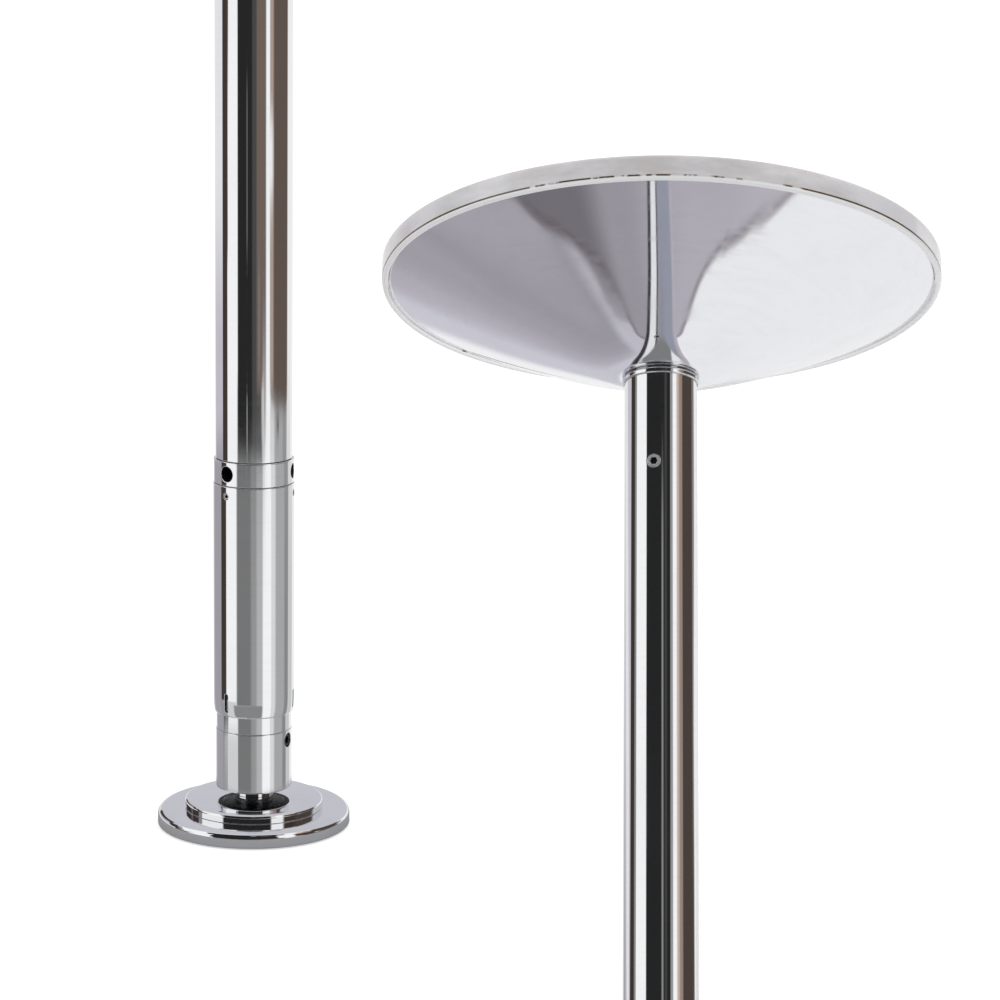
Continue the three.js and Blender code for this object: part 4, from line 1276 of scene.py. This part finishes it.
@dataclass
class PoleTubes(Assembly):
    """Adjuster sleeve with its keys and screws, the two tubes and the spigot's screw."""

    body: str = "pole"
    radius: float = 22.5
    bore: float = 20.5
    sleeve_radius: float = 23.85
    sleeve_bore: float = 22.5
    sleeve_bottom: float = 69.5
    sleeve_top: float = 207.7
    lip_radius: float = 22.95
    taper: float = 10.5
    slot_height: float = 77.65
    key_height: float = 76.1
    seat_height: float = 202.0  # of the small screws
    angles: tuple[float, ...] = (60.0, 180.0, 300.0)
    lower_ends: tuple[float, float] = (222.5, 1222.5)
    upper_ends: tuple[float, float] = (1222.7, 2157.337)
    coupling_angle: float = 90.0
    coupling_heights: tuple[float, float] = (1172.6, 1272.6)
    spigot_angle: float = 212.0
    spigot_height: float = 2100.137

    def build(self) -> None:
        """Builds the sleeve, its keys and screws, and the tubes."""
        slots = [
            Hole(a, self.slot_height, radius=1.3, core=4.35, lip=0.18, margin=0.7) for a in self.angles
        ]
        seats = [Hole(a, self.seat_height, radius=2.0, lip=0.2, margin=0.8) for a in self.angles]
        sleeve = Turned(self.sleeve(slots[0], seats[0]), [*slots, *seats], split=22.7)
        self.fit(sleeve.skin(), "adjuster_sleeve", Slot.CHROME, (Finishes.CHROME, Finishes.BORE))
        screw_finishes = (Finishes.SCREW, Finishes.BORE)
        for i, angle in enumerate(self.angles, 1):
            key = SlotKey(angle, self.key_height, inner=21.3, outer=22.7, radius=1.2, core=2.8)
            self.fit(key.skin(), f"sleeve_key_{i}", Slot.STEEL, (Finishes.STEEL,))
            screw = SocketScrew(
                angle, self.seat_height, inner=20.4, outer=23.5, radius=1.9, socket=1.1,
                chamfer=0.25, columns=48,
            )
            self.fit(screw.skin(), f"sleeve_screw_{i}", Slot.STEEL, screw_finishes)
        low, high = (Hole(self.coupling_angle, height, radius=3.5) for height in self.coupling_heights)
        spigot = Hole(self.spigot_angle, self.spigot_height, radius=4.2, lip=0.25, margin=0.8)
        self.tube("lower_tube", *self.lower_ends, [low])
        self.tube("upper_tube", *self.upper_ends, [high, spigot])
        screw = SocketScrew(
            self.spigot_angle, self.spigot_height, inner=10.8, outer=22.4, radius=4.1, socket=2.4,
            chamfer=0.3, columns=96,
        )
        self.fit(screw.skin(), "spigot_screw", Slot.STEEL, screw_finishes)

    def sleeve(self, slot: Hole, seat: Hole) -> np.ndarray:
        """A tube whose lip is drawn in: lip radius + step * sin t, at a height of taper * (1 - cos t).

        Args:
            slot: One of the key slots.
            seat: One of the screws' holes.

        Returns:
            Radius and height of each point of the outline, with rows beside the holes on both walls.
        """
        t = np.linspace(0, np.pi / 2, 40)[1:]
        step = self.sleeve_radius - self.lip_radius
        lip = np.stack([
            self.lip_radius + step * np.sin(t), self.sleeve_bottom + self.taper * (1 - np.cos(t)),
        ], -1)
        lip = lip[lip[:, 1] > self.sleeve_bottom + 0.4]
        low, high = slot.height - slot.reach, slot.height + slot.reach
        rim = levels(self.sleeve_radius, self.sleeve_bottom + self.taper + 0.5, high, 5)
        inner = np.r_[lip[lip[:, 1] >= low, 1], [z for _, z in rim]][::-1]
        low, high = seat.height - seat.reach, seat.height + seat.reach
        return soften([
            (self.sleeve_bore, self.sleeve_bottom, 0.12), (self.lip_radius, self.sleeve_bottom, 0.15),
            *map(tuple, lip), *rim, *levels(self.sleeve_radius, low, high, 7),
            (self.sleeve_radius, self.sleeve_top, 0.4), (self.sleeve_bore, self.sleeve_top, 0.2),
            *levels(self.sleeve_bore, high, low, 7), *[(self.sleeve_bore, z) for z in inner],
        ], 5, 0.12)

    def tube(self, name: str, bottom: float, top: float, holes: list[Hole]) -> None:
        """Builds one of the pole's tubes, with rows beside its holes on both walls.

        Args:
            name: Name of the CAD node that it stands for.
            bottom: Height of its lower end.
            top: Height of its upper end.
            holes: Its holes, from the lowest up.
        """
        rows = [(h.height - h.reach, h.height + h.reach) for h in holes]
        outer = [p for low, high in rows for p in levels(self.radius, low, high, 11)]
        inner = [p for low, high in reversed(rows) for p in levels(self.bore, high, low, 11)]
        outline = soften([
            (self.bore, bottom, 0.3), (self.radius, bottom, 0.3), *outer,
            (self.radius, top, 0.3), (self.bore, top, 0.3), *inner,
        ])
        skin = Turned(outline, holes, split=21.5).skin()
        self.fit(skin, name, Slot.CHROME, (Finishes.CHROME, Finishes.BORE))


@dataclass
class CeilingDome(Assembly):
    """Pressed dome on its hub, with the ring and nut that hold it and the trim on its edge."""

    body: str = "dome"
    overall: float = 2235.0
    land_bottom: float = 2161.237
    land_radius: float = 24.0
    land_bore: float = 20.3
    flange_radius: float = 170.3
    flange_top: float = 2232.1
    slope: float = 0.3216
    curve: float = 0.0992
    wall: float = 2.0
    bead_radius: float = 23.9
    bead_bottom: float = 2157.137
    bead_top: float = 2161.137
    lip_bore: float = 22.8  # of the bead, over the tube's end
    lip_top: float = 2159.637
    neck_radius: float = 20.0
    neck_top: float = 2182.137
    neck_bore: float = 13.6
    seat_radius: float = 16.0  # round the bearing
    seat_top: float = 2170.337
    groove_low: float = 2160.087
    groove_high: float = 2161.187
    backing_bore: float = 20.1
    backing_radius: float = 40.0
    backing_bottom: float = 2163.638
    backing_top: float = 2169.057
    trim_radius: float = 174.0
    trim_bottom: float = 2220.0
    trim_inner: float = 166.2
    trim_heel: float = 2225.0

    def build(self) -> None:
        """Builds the hub, the dome, the backing ring, the nut and the trim."""
        thread = Thread(low=2178.137, high=2181.737, pitch=1.5, depth=0.5, inside=16)
        hub = Turned(self.hub(thread), thread=thread)
        self.fit(hub.skin(), "dome_hub", Slot.CHROME, (Finishes.CHROME, Finishes.BORE))
        self.fit(Turned(self.shell()).skin(), "dome_shell", Slot.CHROME, (Finishes.DOME,))
        backing = Turned(self.backing())
        self.fit(backing.skin(), "dome_backing_ring", Slot.ALUMINIUM, (Finishes.ALUMINIUM,))
        nut = HexNut(corner=29.0, bore=20.1, bottom=2169.157, top=2176.157)
        self.fit(nut.skin(), "hub_nut", Slot.STEEL, (Finishes.STEEL,))
        self.fit(Turned(self.trim()).skin(), "edge_trim", Slot.CLEAR_PVC, (Finishes.TRIM,))

    def underside(self, radius: np.ndarray) -> np.ndarray:
        """Height of the dome's underside: land + slope * run + curve * full * (run / full)^2."""
        run, full = radius - self.land_radius, self.flange_radius - self.land_radius
        return self.land_bottom + self.slope * run + self.curve * full * (run / full) ** 2

    def hub(self, thread: Thread) -> np.ndarray:
        """A rounded bead under the dome and a neck through it, over the bearing's seat.

        Args:
            thread: Thread of the neck.

        Returns:
            Radius and height of each point of the outline.
        """
        return soften([
            (self.lip_bore, self.bead_bottom, 0.2), (self.bead_radius, self.bead_bottom, 1.0),
            (self.bead_radius, self.bead_top, 1.9), (self.neck_radius, self.bead_top, 0.2),
            (self.neck_radius, thread.low - 0.5), *thread.rows(self.neck_radius),
            (self.neck_radius, self.neck_top, 0.3), (self.neck_bore, self.neck_top, 0.4),
            (self.neck_bore, self.seat_top, 0.2), (self.seat_radius, self.seat_top, 0.2),
            *groove(self.seat_radius, -1.0, self.groove_high, self.groove_low),
            (self.seat_radius, self.lip_top, 0.1), (self.lip_bore, self.lip_top, 0.1),
        ], 8, 0.06)

    def shell(self) -> np.ndarray:
        """A sheet of one thickness: the land, the curved cone and the upturned flange.

        Returns:
            Radius and height of each point of the outline.
        """
        lift = self.wall * math.sqrt(1 + self.slope**2)
        edge, corner = self.flange_radius, self.flange_radius - self.wall
        land, land_top = self.land_radius - 1.5, self.land_bottom + lift
        under = np.linspace(self.land_radius + 1, edge - 3.2, 60)
        over = np.linspace(corner - 2.6, self.land_radius + 1, 50)
        bottom, top = float(self.underside(np.array(edge))), float(self.underside(np.array(corner)))
        return soften([
            (self.land_bore, land_top, 0.3), (self.land_bore, self.land_bottom, 0.2),
            (land, self.land_bottom), *zip(under, self.underside(under)), (edge, bottom, 2.6),
            (edge, self.flange_top, 0.3), (corner, self.flange_top, 0.3), (corner, top + lift, 1.2),
            *zip(over, self.underside(over) + lift), (land, land_top),
        ], 10, 0.1)

    def backing(self) -> np.ndarray:
        """A cast ring whose underside follows the dome and whose top is flat.

        Returns:
            Radius and height of each point of the outline.
        """
        return soften([
            (self.backing_bore, self.backing_bottom, 0.2), (self.land_radius, self.backing_bottom),
            (self.backing_radius, self.backing_top - 0.1, 0.04),
            (self.backing_radius, self.backing_top, 0.04), (self.backing_bore, self.backing_top, 0.3),
        ], 3, 0.05)

    def trim(self) -> np.ndarray:
        """A channel over the flange: a tall outer wall with a round heel, a crown and a short inner leg.

        Returns:
            Radius and height of each point of the outline.
        """
        outer, inner, roof = self.flange_radius + 0.1, self.flange_radius - 2.1, self.flange_top + 0.1
        return soften([
            (outer, self.trim_bottom, 0.5), (self.trim_radius, self.trim_bottom, 2.9),
            (self.trim_radius, self.overall, 1.3), (self.trim_inner, self.overall, 0.8),
            (self.trim_inner, self.trim_heel, 0.8), (inner, self.trim_heel, 0.3),
            (inner, roof, 0.05), (outer, roof, 0.05),
        ], 8, 0.2)


# ---------------------------------------------------------------- studio, cameras and second picture


class Rig(Enum):
    """What a studio panel is set up for: either end of the pole, or the dark sheet under the dome."""

    FLOOR_END = "level"
    CEILING_END = "tilted"
    SHEET = "sheet under the dome"


@dataclass(frozen=True)
class Panel:
    """A soft panel of the studio that the chrome reflects, in degrees round from the camera and up."""

    rig: Rig
    start: float
    end: float
    low: float
    high: float
    shade: Colour
    softness: float = 1.0
    corner: float = 1.0
    squash: float = 1.0  # how much flatter its corners and its soft edge are upwards


def grey(value: float) -> Colour:
    """A plain grey."""
    return (value, value, value)


def lilac(value: float) -> Colour:
    """A grey with a breath of violet."""
    return (value, 0.95 * value, 1.05 * value)


def brown(value: float) -> Colour:
    """A warm brownish grey."""
    return (1.25 * value, 0.95 * value, 0.8 * value)


FLOOR, CEILING, SHEET = Rig.FLOOR_END, Rig.CEILING_END, Rig.SHEET
PANELS = (
    # Ceiling end: the backdrop that the dome reflects
    Panel(CEILING, -176, -60, -90, 3, (0.64, 0.63, 0.69), 4),
    Panel(CEILING, -162, -110, -58, -8, lilac(0.49), 4, 4),
    Panel(CEILING, -156, -110, -62, -18, lilac(0.4), 4, 4),
    Panel(CEILING, -150, -110, -75, -32, lilac(0.36), 3, 4),
    Panel(CEILING, -147, -110, -58, -36, lilac(0.42), 2, 3),
    Panel(CEILING, -175, -148.5, -90, -58, (0.58, 0.565, 0.62), 3, 3),
    # Ceiling end: what the tops of the base reflect
    Panel(CEILING, -200, 200, 31, 95, (0.59, 0.585, 0.635), 4),
    Panel(CEILING, -145, -98, 23, 42, brown(0.03), 2),
    # Ceiling end: what the tube under the dome reflects
    Panel(CEILING, -158, -100, 4, 28, lilac(0.6), 6),
    Panel(CEILING, -106, -87, 3, 30, brown(0.04), 1.5),
    Panel(CEILING, -88, -80, 3, 26, grey(0.27), 2),
    Panel(CEILING, -80.5, -46, 0, 26, grey(1.0), 1.5),
    Panel(CEILING, -45, 31, -4, 26, grey(0.02), 1.5, 4),
    Panel(CEILING, 2.5, 8, -4, 18.7, grey(0.27), 1.2),
    Panel(CEILING, 12, 19, -4, 26, grey(0.06), 3),
    Panel(CEILING, 30, 38.5, 0, 26, grey(0.32), 2),
    Panel(CEILING, 38, 51, -2, 26, grey(1.0), 2),
    Panel(CEILING, 51, 61, 0, 26, brown(0.5), 3),
    Panel(CEILING, 59, 71, 0, 26, brown(0.27), 3),
    Panel(CEILING, 70, 117, 0, 30, brown(0.06), 3),
    Panel(CEILING, 116, 128, 0, 26, grey(0.22), 3),
    # The sheet under the dome, as the dome and the tube in it reflect it
    Panel(SHEET, -172, -120, -90, -30, lilac(0.36), 8),
    Panel(SHEET, -155, -120, -90, -30, lilac(0.19), 4),
    Panel(SHEET, 110, 172, -90, -30, lilac(0.49), 8),
    Panel(SHEET, 100, 150, -90, -30, lilac(0.54), 4),
    Panel(SHEET, -135, -95, -90, -30, grey(0.05), 2),
    Panel(SHEET, -88, -38, -90, -30, grey(0.95), 2),
    Panel(SHEET, -36, -24, -90, -30, grey(0.12), 2),
    Panel(SHEET, -23, 90, -90, -30, (0.37, 0.38, 0.45), 3),
    # Floor end: the backdrop, the dark line and the white sheet on the left
    Panel(FLOOR, -160, -100, -60, 60, lilac(0.58), 6),
    Panel(FLOOR, -168, -100, -8, 60, (0.85, 0.84, 0.86), 6, squash=4),
    Panel(FLOOR, -150, -100, -60, -10.9, lilac(0.38), 5, squash=10),
    Panel(FLOOR, -110, -86, -60, -15, grey(0.33), 2),
    Panel(FLOOR, -106, -85.5, -15.4, 60, brown(0.045), 1.2, squash=4),
    Panel(FLOOR, -87, -81, -8, 60, brown(0.06), 1.2, squash=4),
    Panel(FLOOR, -83.5, -51.5, -60, -5, grey(1.0), 1.2),
    Panel(FLOOR, -80.5, -48, -8, 60, grey(1.0), 1.2, 4, squash=4),
    Panel(FLOOR, -86, -51.5, -60, -15.5, grey(0.68), 1.5, squash=6),
    # Floor end: greys of the low walls
    Panel(FLOOR, -50, 30, -17.3, -10, grey(0.2), 3, squash=10),
    Panel(FLOOR, -8, 30, -60, -10, grey(0.33), 5),
    Panel(FLOOR, 8, 30, -60, -10, grey(0.5), 5),
    Panel(FLOOR, -60, 30, -60, -17.3, grey(0.26), 4, squash=10),
    # Floor end, high: the dark openings between the lights, with their rounded lower ends
    Panel(FLOOR, -49, 2, -11.1, 60, grey(0.022), 1.6, squash=20),
    Panel(FLOOR, -5, 36, -11.2, 60, grey(0.07), 3.5, 12, 20),
    Panel(FLOOR, 8, 34, -10.2, 60, brown(0.14), 3, 6, 40),
    Panel(FLOOR, 13, 18, -9.9, -8.2, grey(0.2), 3, 2, 10),
    Panel(FLOOR, 22, 30, -10.9, -10, grey(0.5), 2, 4, 20),
    Panel(FLOOR, -21.3, -19.3, -11.15, -10.2, grey(0.45), 0.8, 1, 20),
    Panel(FLOOR, -21.5, -18.5, -7.9, -5.3, grey(0.16), 1.4, 1, 4),
    # Floor end: the narrow light and the greys on the right
    Panel(FLOOR, 49, 115, -60, 60, grey(0.42), 5),
    Panel(FLOOR, 97, 114, -60, -10.3, grey(0.27), 4),
    Panel(FLOOR, 46, 64, -60, 60, grey(0.75), 4),
    Panel(FLOOR, 25, 50, -60, -11, grey(1.0), 3, 3),
    Panel(FLOOR, 38, 49.5, -60, 60, grey(1.0), 1.5),
    Panel(FLOOR, 50, 118, -10.35, 60, brown(0.1), 3, 18, 100),
    Panel(FLOOR, 49, 60, -10.1, 60, brown(0.36), 4, 5, 20),
    Panel(FLOOR, 40, 58, -7.1, -5.8, grey(0.95), 6, 6, 12),
    Panel(FLOOR, 71, 81, -10.74, -10.52, brown(0.03), 2, 4, 60),
    Panel(FLOOR, 116, 138, -60, -11, grey(0.62), 3),
    # Floor end, above the horizon: what the base reflects
    Panel(FLOOR, -121, -93, -1, 34, brown(0.03), 2),
    Panel(FLOOR, -93, -54, -1, 34, grey(1.0), 2),
    Panel(FLOOR, -53, 28, -1, 34, grey(0.02), 2),
    Panel(FLOOR, 29, 50, -1, 34, grey(1.0), 2),
    Panel(FLOOR, 51, 116, -1, 34, brown(0.04), 3),
)


@dataclass(frozen=True)
class Shot:
    """A camera beside the pole, kept upright to its axis."""

    distance: float
    height: float
    tilt: float  # degrees down
    column: float  # pixel column of the axis in the picture
    polar: float = 223.0
    focal: float = 3600.0

    def matrix(self) -> Matrix:
        """Place and axes of the camera: level, then tilted down, then turned aside to the axis's column.

        Returns:
            The camera's matrix.
        """
        a, tilt = math.radians(self.polar), math.radians(self.tilt)
        turn = math.atan((self.column - FRAME / 2) / self.focal)
        ahead = Vector((-math.cos(a), -math.sin(a), 0))
        right, up = Vector((-math.sin(a), math.cos(a), 0)), Vector((0, 0, 1))
        level, y = ahead * math.cos(tilt) - up * math.sin(tilt), ahead * math.sin(tilt) + up * math.cos(tilt)
        x = right * math.cos(turn) + level * math.sin(turn)
        front = level * math.cos(turn) - right * math.sin(turn)
        made = Matrix((x, y, -front)).transposed().to_4x4()
        made.translation = up * self.height - ahead * self.distance
        return made


@dataclass
class Studio:
    """Camera, second picture, floor, lamp and the sky that the chrome reflects."""

    floor_end: Shot = Shot(distance=2.07098, height=0.63078, tilt=11.8468, column=253.9)
    ceiling_end: Shot = Shot(distance=2.09017, height=1.38446, tilt=-18.4592, column=660.71)
    second_scale: float = 0.005
    floor_height: float = -0.0002
    floor_half: float = 30.0
    floor_cells: int = 4
    floor_shown: tuple[float, float] = (0.085, 0.115)  # the radii between which it leaves the reflections
    lamp_size: float = 3.0
    lamp_power: float = 45.0
    lamp_place: tuple[float, float, float] = (-0.8, -1.2, 4.6)
    lamp_tilt: float = 0.2
    sheet_reach: float = 0.41  # how far the sheet under the dome goes, over its depth
    sheet_straight: float = 0.21  # its edge is straight up to this far aside
    sheet_flare: float = 0.57
    sheet_skew: float = 0.04
    sheet_wave: float = 0.04

    def camera(self) -> None:
        """Sets up the camera at the floor end's place."""
        lens = bpy.data.cameras.new("camera")
        lens.sensor_width, lens.lens = SENSOR, self.floor_end.focal * SENSOR / FRAME
        lens.clip_start, lens.clip_end = 0.004, 200
        made = bpy.data.objects.new("camera", lens)
        bpy.context.scene.collection.objects.link(made)
        made.matrix_world = self.floor_end.matrix()
        bpy.context.scene.camera = made

    def second_picture(self) -> None:
        """Hangs a tiny copy of the shown pieces before the lens, as the ceiling end's camera sees them.

        The copy is the whole collection of pieces, shrunk about the ceiling end's camera and moved to
        the floor end's camera, so it covers what that second camera would see.
        """
        pieces = bpy.data.collections.new("pole_pieces")
        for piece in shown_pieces():
            pieces.objects.link(piece)
        made = bpy.data.objects.new("second_picture", None)
        made.instance_type, made.instance_collection = "COLLECTION", pieces
        scale = Matrix.Scale(self.second_scale, 4)
        made.matrix_world = self.floor_end.matrix() @ scale @ self.ceiling_end.matrix().inverted()
        made.visible_shadow = made.visible_diffuse = False
        bpy.context.scene.collection.objects.link(made)

    def floor(self) -> None:
        """A pale floor that shows white to the camera, keeps a soft shadow and shows in the base's rim in a
        darker grey, a painted shade.
        """
        n = self.floor_cells
        side = np.linspace(-self.floor_half, self.floor_half, n + 1)
        x, y = np.meshgrid(side, side, indexing="ij")
        points = np.stack([x, y, np.full_like(x, self.floor_height)], -1).reshape(-1, 3)
        first = np.arange(n * n).reshape(n, n) + np.arange(n)[:, None]
        quads = np.stack([first, first + n + 1, first + n + 2, first + 1], -1).reshape(-1, 4)
        mesh = bpy.data.meshes.new("floor")
        mesh.from_pydata(points, [], quads)
        made = bpy.data.objects.new("floor", mesh)
        bpy.context.scene.collection.objects.link(made)
        material = bpy.data.materials.new("pale_floor")
        material.use_nodes = True
        sheet = Sheet(material.node_tree)
        shader = material.node_tree.nodes["Principled BSDF"]
        shader.inputs["Roughness"].default_value = 1.0
        shader.inputs["Specular IOR Level"].default_value = 0.0
        shader.inputs["Emission Color"].default_value = (1, 1, 1, 1)
        path = sheet.node("LightPath").outputs
        sheet.link(sheet.sum("MULTIPLY", path["Is Camera Ray"], 0.55), shader.inputs["Emission Strength"])
        # In reflections the floor takes a darker grey, a painted shade of the floor round the base.
        pale = sheet.mix(path["Is Glossy Ray"], (0.6, 0.6, 0.6, 1), (0.34, 0.34, 0.35, 1))
        sheet.link(pale, shader.inputs["Base Color"])
        parts = sheet.node("SeparateXYZ", {0: sheet.node("TexCoord").outputs["Object"]}).outputs
        away = sheet.length(parts[0], parts[1])
        gone = sheet.sum("MULTIPLY", path["Is Glossy Ray"], sheet.step(away, *self.floor_shown))
        clear = sheet.node("BsdfTransparent").outputs[0]
        shown = sheet.node("MixShader", {0: gone, 1: shader.outputs[0], 2: clear}).outputs[0]
        sheet.link(shown, material.node_tree.nodes["Material Output"].inputs["Surface"])
        mesh.materials.append(material)
        made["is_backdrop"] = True

    def lamp(self) -> None:
        """A wide soft lamp overhead that the chrome doesn't reflect."""
        light = bpy.data.lights.new("overhead", "AREA")
        light.shape, light.size, light.energy = "DISK", self.lamp_size, self.lamp_power
        made = bpy.data.objects.new("overhead", light)
        tilted = Matrix.Rotation(self.lamp_tilt, 4, "X")
        made.matrix_world = Matrix.Translation(self.lamp_place) @ tilted
        made.visible_glossy = False
        bpy.context.scene.collection.objects.link(made)

    def bearings(self, sheet: Sheet, direction: Value) -> tuple[Value, Value]:
        """Degrees round from the camera's side, and degrees up, of a direction.

        Args:
            sheet: Sheet of the world.
            direction: A unit vector.

        Returns:
            The two angles: atan2 of the level parts, less the camera's polar angle, and asin of Z.
        """
        up = sheet.sum("ARCSINE", sheet.node("SeparateXYZ", {0: direction}).outputs[2])
        return sheet.bearing(direction, self.floor_end.polar), sheet.sum("DEGREES", up)

    def sheet_edge(self, sheet: Sheet, direction: Value) -> tuple[Value, Value]:
        """Where a direction meets the sheet that lies under the dome, and the dark hem of that sheet.

        A downward direction meets the floor at (away, aside) heights from the foot. The sheet ends at
        away = reach + flare * (the part of |aside| that isn't straight) - skew * aside, a little wavy.

        Args:
            sheet: Sheet of the world.
            direction: A unit vector in the ceiling end's frame.

        Returns:
            The masks of the sheet and of its hem.
        """
        a = math.radians(self.floor_end.polar)
        drop = sheet.sum("MULTIPLY", sheet.node("SeparateXYZ", {0: direction}).outputs[2], -1.0)
        down = sheet.sum("MAXIMUM", drop, 0.01)
        away = sheet.sum("DIVIDE", sheet.dot(direction, (-math.cos(a), -math.sin(a), 0)), down)
        aside = sheet.sum("DIVIDE", sheet.dot(direction, (-math.sin(a), math.cos(a), 0)), down)
        over = sheet.sum("MAXIMUM", sheet.sum("ABSOLUTE", aside), self.sheet_straight)
        start = self.sheet_reach - self.sheet_flare * self.sheet_straight
        skewed = sheet.sum("MULTIPLY_ADD", aside, -self.sheet_skew, start)
        end = sheet.sum("MULTIPLY_ADD", over, self.sheet_flare, skewed)
        wavy = sheet.sum("MULTIPLY_ADD", sheet.noise(direction, 9, 2), -self.sheet_wave, away)
        past = sheet.sum("SUBTRACT", wavy, end)
        below = sheet.step(down, 0.58, 0.64)
        covered = sheet.sum("MULTIPLY", sheet.step(past, -0.004, 0.004, 1.0, 0.0), below)
        hem = sheet.sum("MULTIPLY", sheet.step(sheet.sum("ABSOLUTE", past), 0.002, 0.01, 0.6, 0.0), below)
        return covered, hem

    def shares(self, sheet: Sheet, bearings: dict[Rig, tuple[Value, Value]]) -> Value:
        """Which directions show the floor end's panels: a low band all round, and more of the front.

        Args:
            sheet: Sheet of the world.
            bearings: Degrees round and up, for each rig.

        Returns:
            The mask of those directions.
        """
        around, up = bearings[FLOOR]
        aside = sheet.sum("ABSOLUTE", around)
        lowest = sheet.step(aside, 120.0, 150.0, -40.0, -21.0)
        band = sheet.step(up, -1.5, 0.5, 1.0, 0.0)
        under_dome = sheet.step(bearings[CEILING][1], 7.5, 9.5, 1.0, 0.0)
        front = sheet.sum("MULTIPLY", sheet.step(aside, 74.0, 80.0, 1.0, 0.0), under_dome)
        above = sheet.step(up, lowest, sheet.sum("ADD", lowest, 4.0))
        return sheet.sum("MULTIPLY", sheet.sum("MAXIMUM", band, front), above)

    def panels(self, sheet: Sheet, bearings: dict[Rig, tuple[Value, Value]]) -> dict[Rig, Value]:
        """The colour that each rig's panels give a direction, each panel laid over the last one.

        Args:
            sheet: Sheet of the world.
            bearings: Degrees round and up, for each rig.

        Returns:
            The colour for each rig.
        """
        colours: dict[Rig, Value] = {
            FLOOR: (0.94, 0.94, 0.94, 1), CEILING: (0.93, 0.93, 0.94, 1), SHEET: (0.44, 0.42, 0.46, 1),
        }
        for panel in PANELS:
            around, up = bearings[panel.rig]
            if panel.squash != 1:
                up = sheet.sum("MULTIPLY", up, panel.squash)
            mask = Effect.PANEL.use(
                sheet, Round=around, Up=up, Middle=(panel.start + panel.end) / 2,
                Half_width=(panel.end - panel.start) / 2, Low=panel.low * panel.squash,
                High=panel.high * panel.squash, Corner=panel.corner, Softness=panel.softness,
            )
            colours[panel.rig] = sheet.mix(mask.outputs[0], colours[panel.rig], (*panel.shade, 1))
        return colours

    def sky(self) -> None:
        """White to the camera, plain to matt surfaces, and the studio's panels to polished ones.

        The floor end's panels stand level. The ceiling end's are turned by the rotation from one camera
        to the other, because the second picture is turned by it.
        """
        world = bpy.data.worlds.new("studio")
        world.use_nodes = True
        bpy.context.scene.world = world
        sheet = Sheet(world.node_tree)
        world.node_tree.nodes.clear()
        level = sheet.node("TexCoord").outputs["Generated"]
        level_camera, tilted_camera = (end.matrix().to_3x3() for end in (self.floor_end, self.ceiling_end))
        turn = (tilted_camera @ level_camera.inverted()).to_euler("XYZ")
        inputs = {"Vector": level, "Rotation": tuple(turn)}
        tilted = sheet.node("VectorRotate", inputs, rotation_type="EULER_XYZ").outputs[0]
        bearings = {FLOOR: self.bearings(sheet, level), CEILING: self.bearings(sheet, tilted)}
        bearings[SHEET] = bearings[CEILING]
        colours = self.panels(sheet, bearings)
        covered, hem = self.sheet_edge(sheet, tilted)
        under_dome = sheet.mix(covered, colours[CEILING], colours[SHEET])
        ceiling = sheet.mix(hem, under_dome, (0.1, 0.07, 0.08, 1))
        reflected = sheet.mix(self.shares(sheet, bearings), ceiling, colours[FLOOR])
        path = sheet.node("LightPath").outputs
        plain, panels, white = (
            sheet.node("Background", {"Color": colour, "Strength": 1.0}).outputs[0]
            for colour in ((0.9, 0.9, 0.9, 1), reflected, (1, 1, 1, 1))
        )
        shown = sheet.node("MixShader", {0: path["Is Glossy Ray"], 1: plain, 2: panels}).outputs[0]
        seen = sheet.sum("MAXIMUM", path["Is Camera Ray"], path["Is Transmission Ray"])
        surface = sheet.node("MixShader", {0: seen, 1: shown, 2: white}).outputs[0]
        sheet.node("OutputWorld", {"Surface": surface})

    def build(self) -> None:
        """Sets up the camera, the floor, the lamp, the sky and the second picture."""
        bpy.context.scene.view_settings.view_transform = "Standard"
        self.camera()
        self.floor()
        self.lamp()
        self.sky()
        self.second_picture()


@dataclass
class HiddenWorks:
    """The CAD nodes that stay as they are, inside the pole: they get their slot's finish."""

    frame: dict[str, Any]

    def build(self) -> None:
        """Dresses each CAD node that no fine piece stands for."""
        slots = {row["node"]: row["material_slot"] for row in self.frame["record"]["subparts"]}
        for name, node in sorted(self.frame["nodes"].items()):
            if node.hide_render:
                continue
            material = HIDDEN_FINISH[Slot(slots[name])].material()
            node.data.materials.clear()
            node.data.materials.append(material)
            log.info("%s: dressed as %s", name, material.name)


def main() -> None:
    """Builds the pole from the floor up, then the studio."""
    logging.basicConfig(level=logging.INFO, format="%(name)s %(message)s")
    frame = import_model()
    pole = (FloorBase(), Swivel(), Adjuster(), PoleTubes(), CeilingDome(), HiddenWorks(frame))
    for assembly in (*pole, Studio()):
        log.info("building %s", type(assembly).__name__)
        assembly.build()


if __name__ == "__main__":
    main()
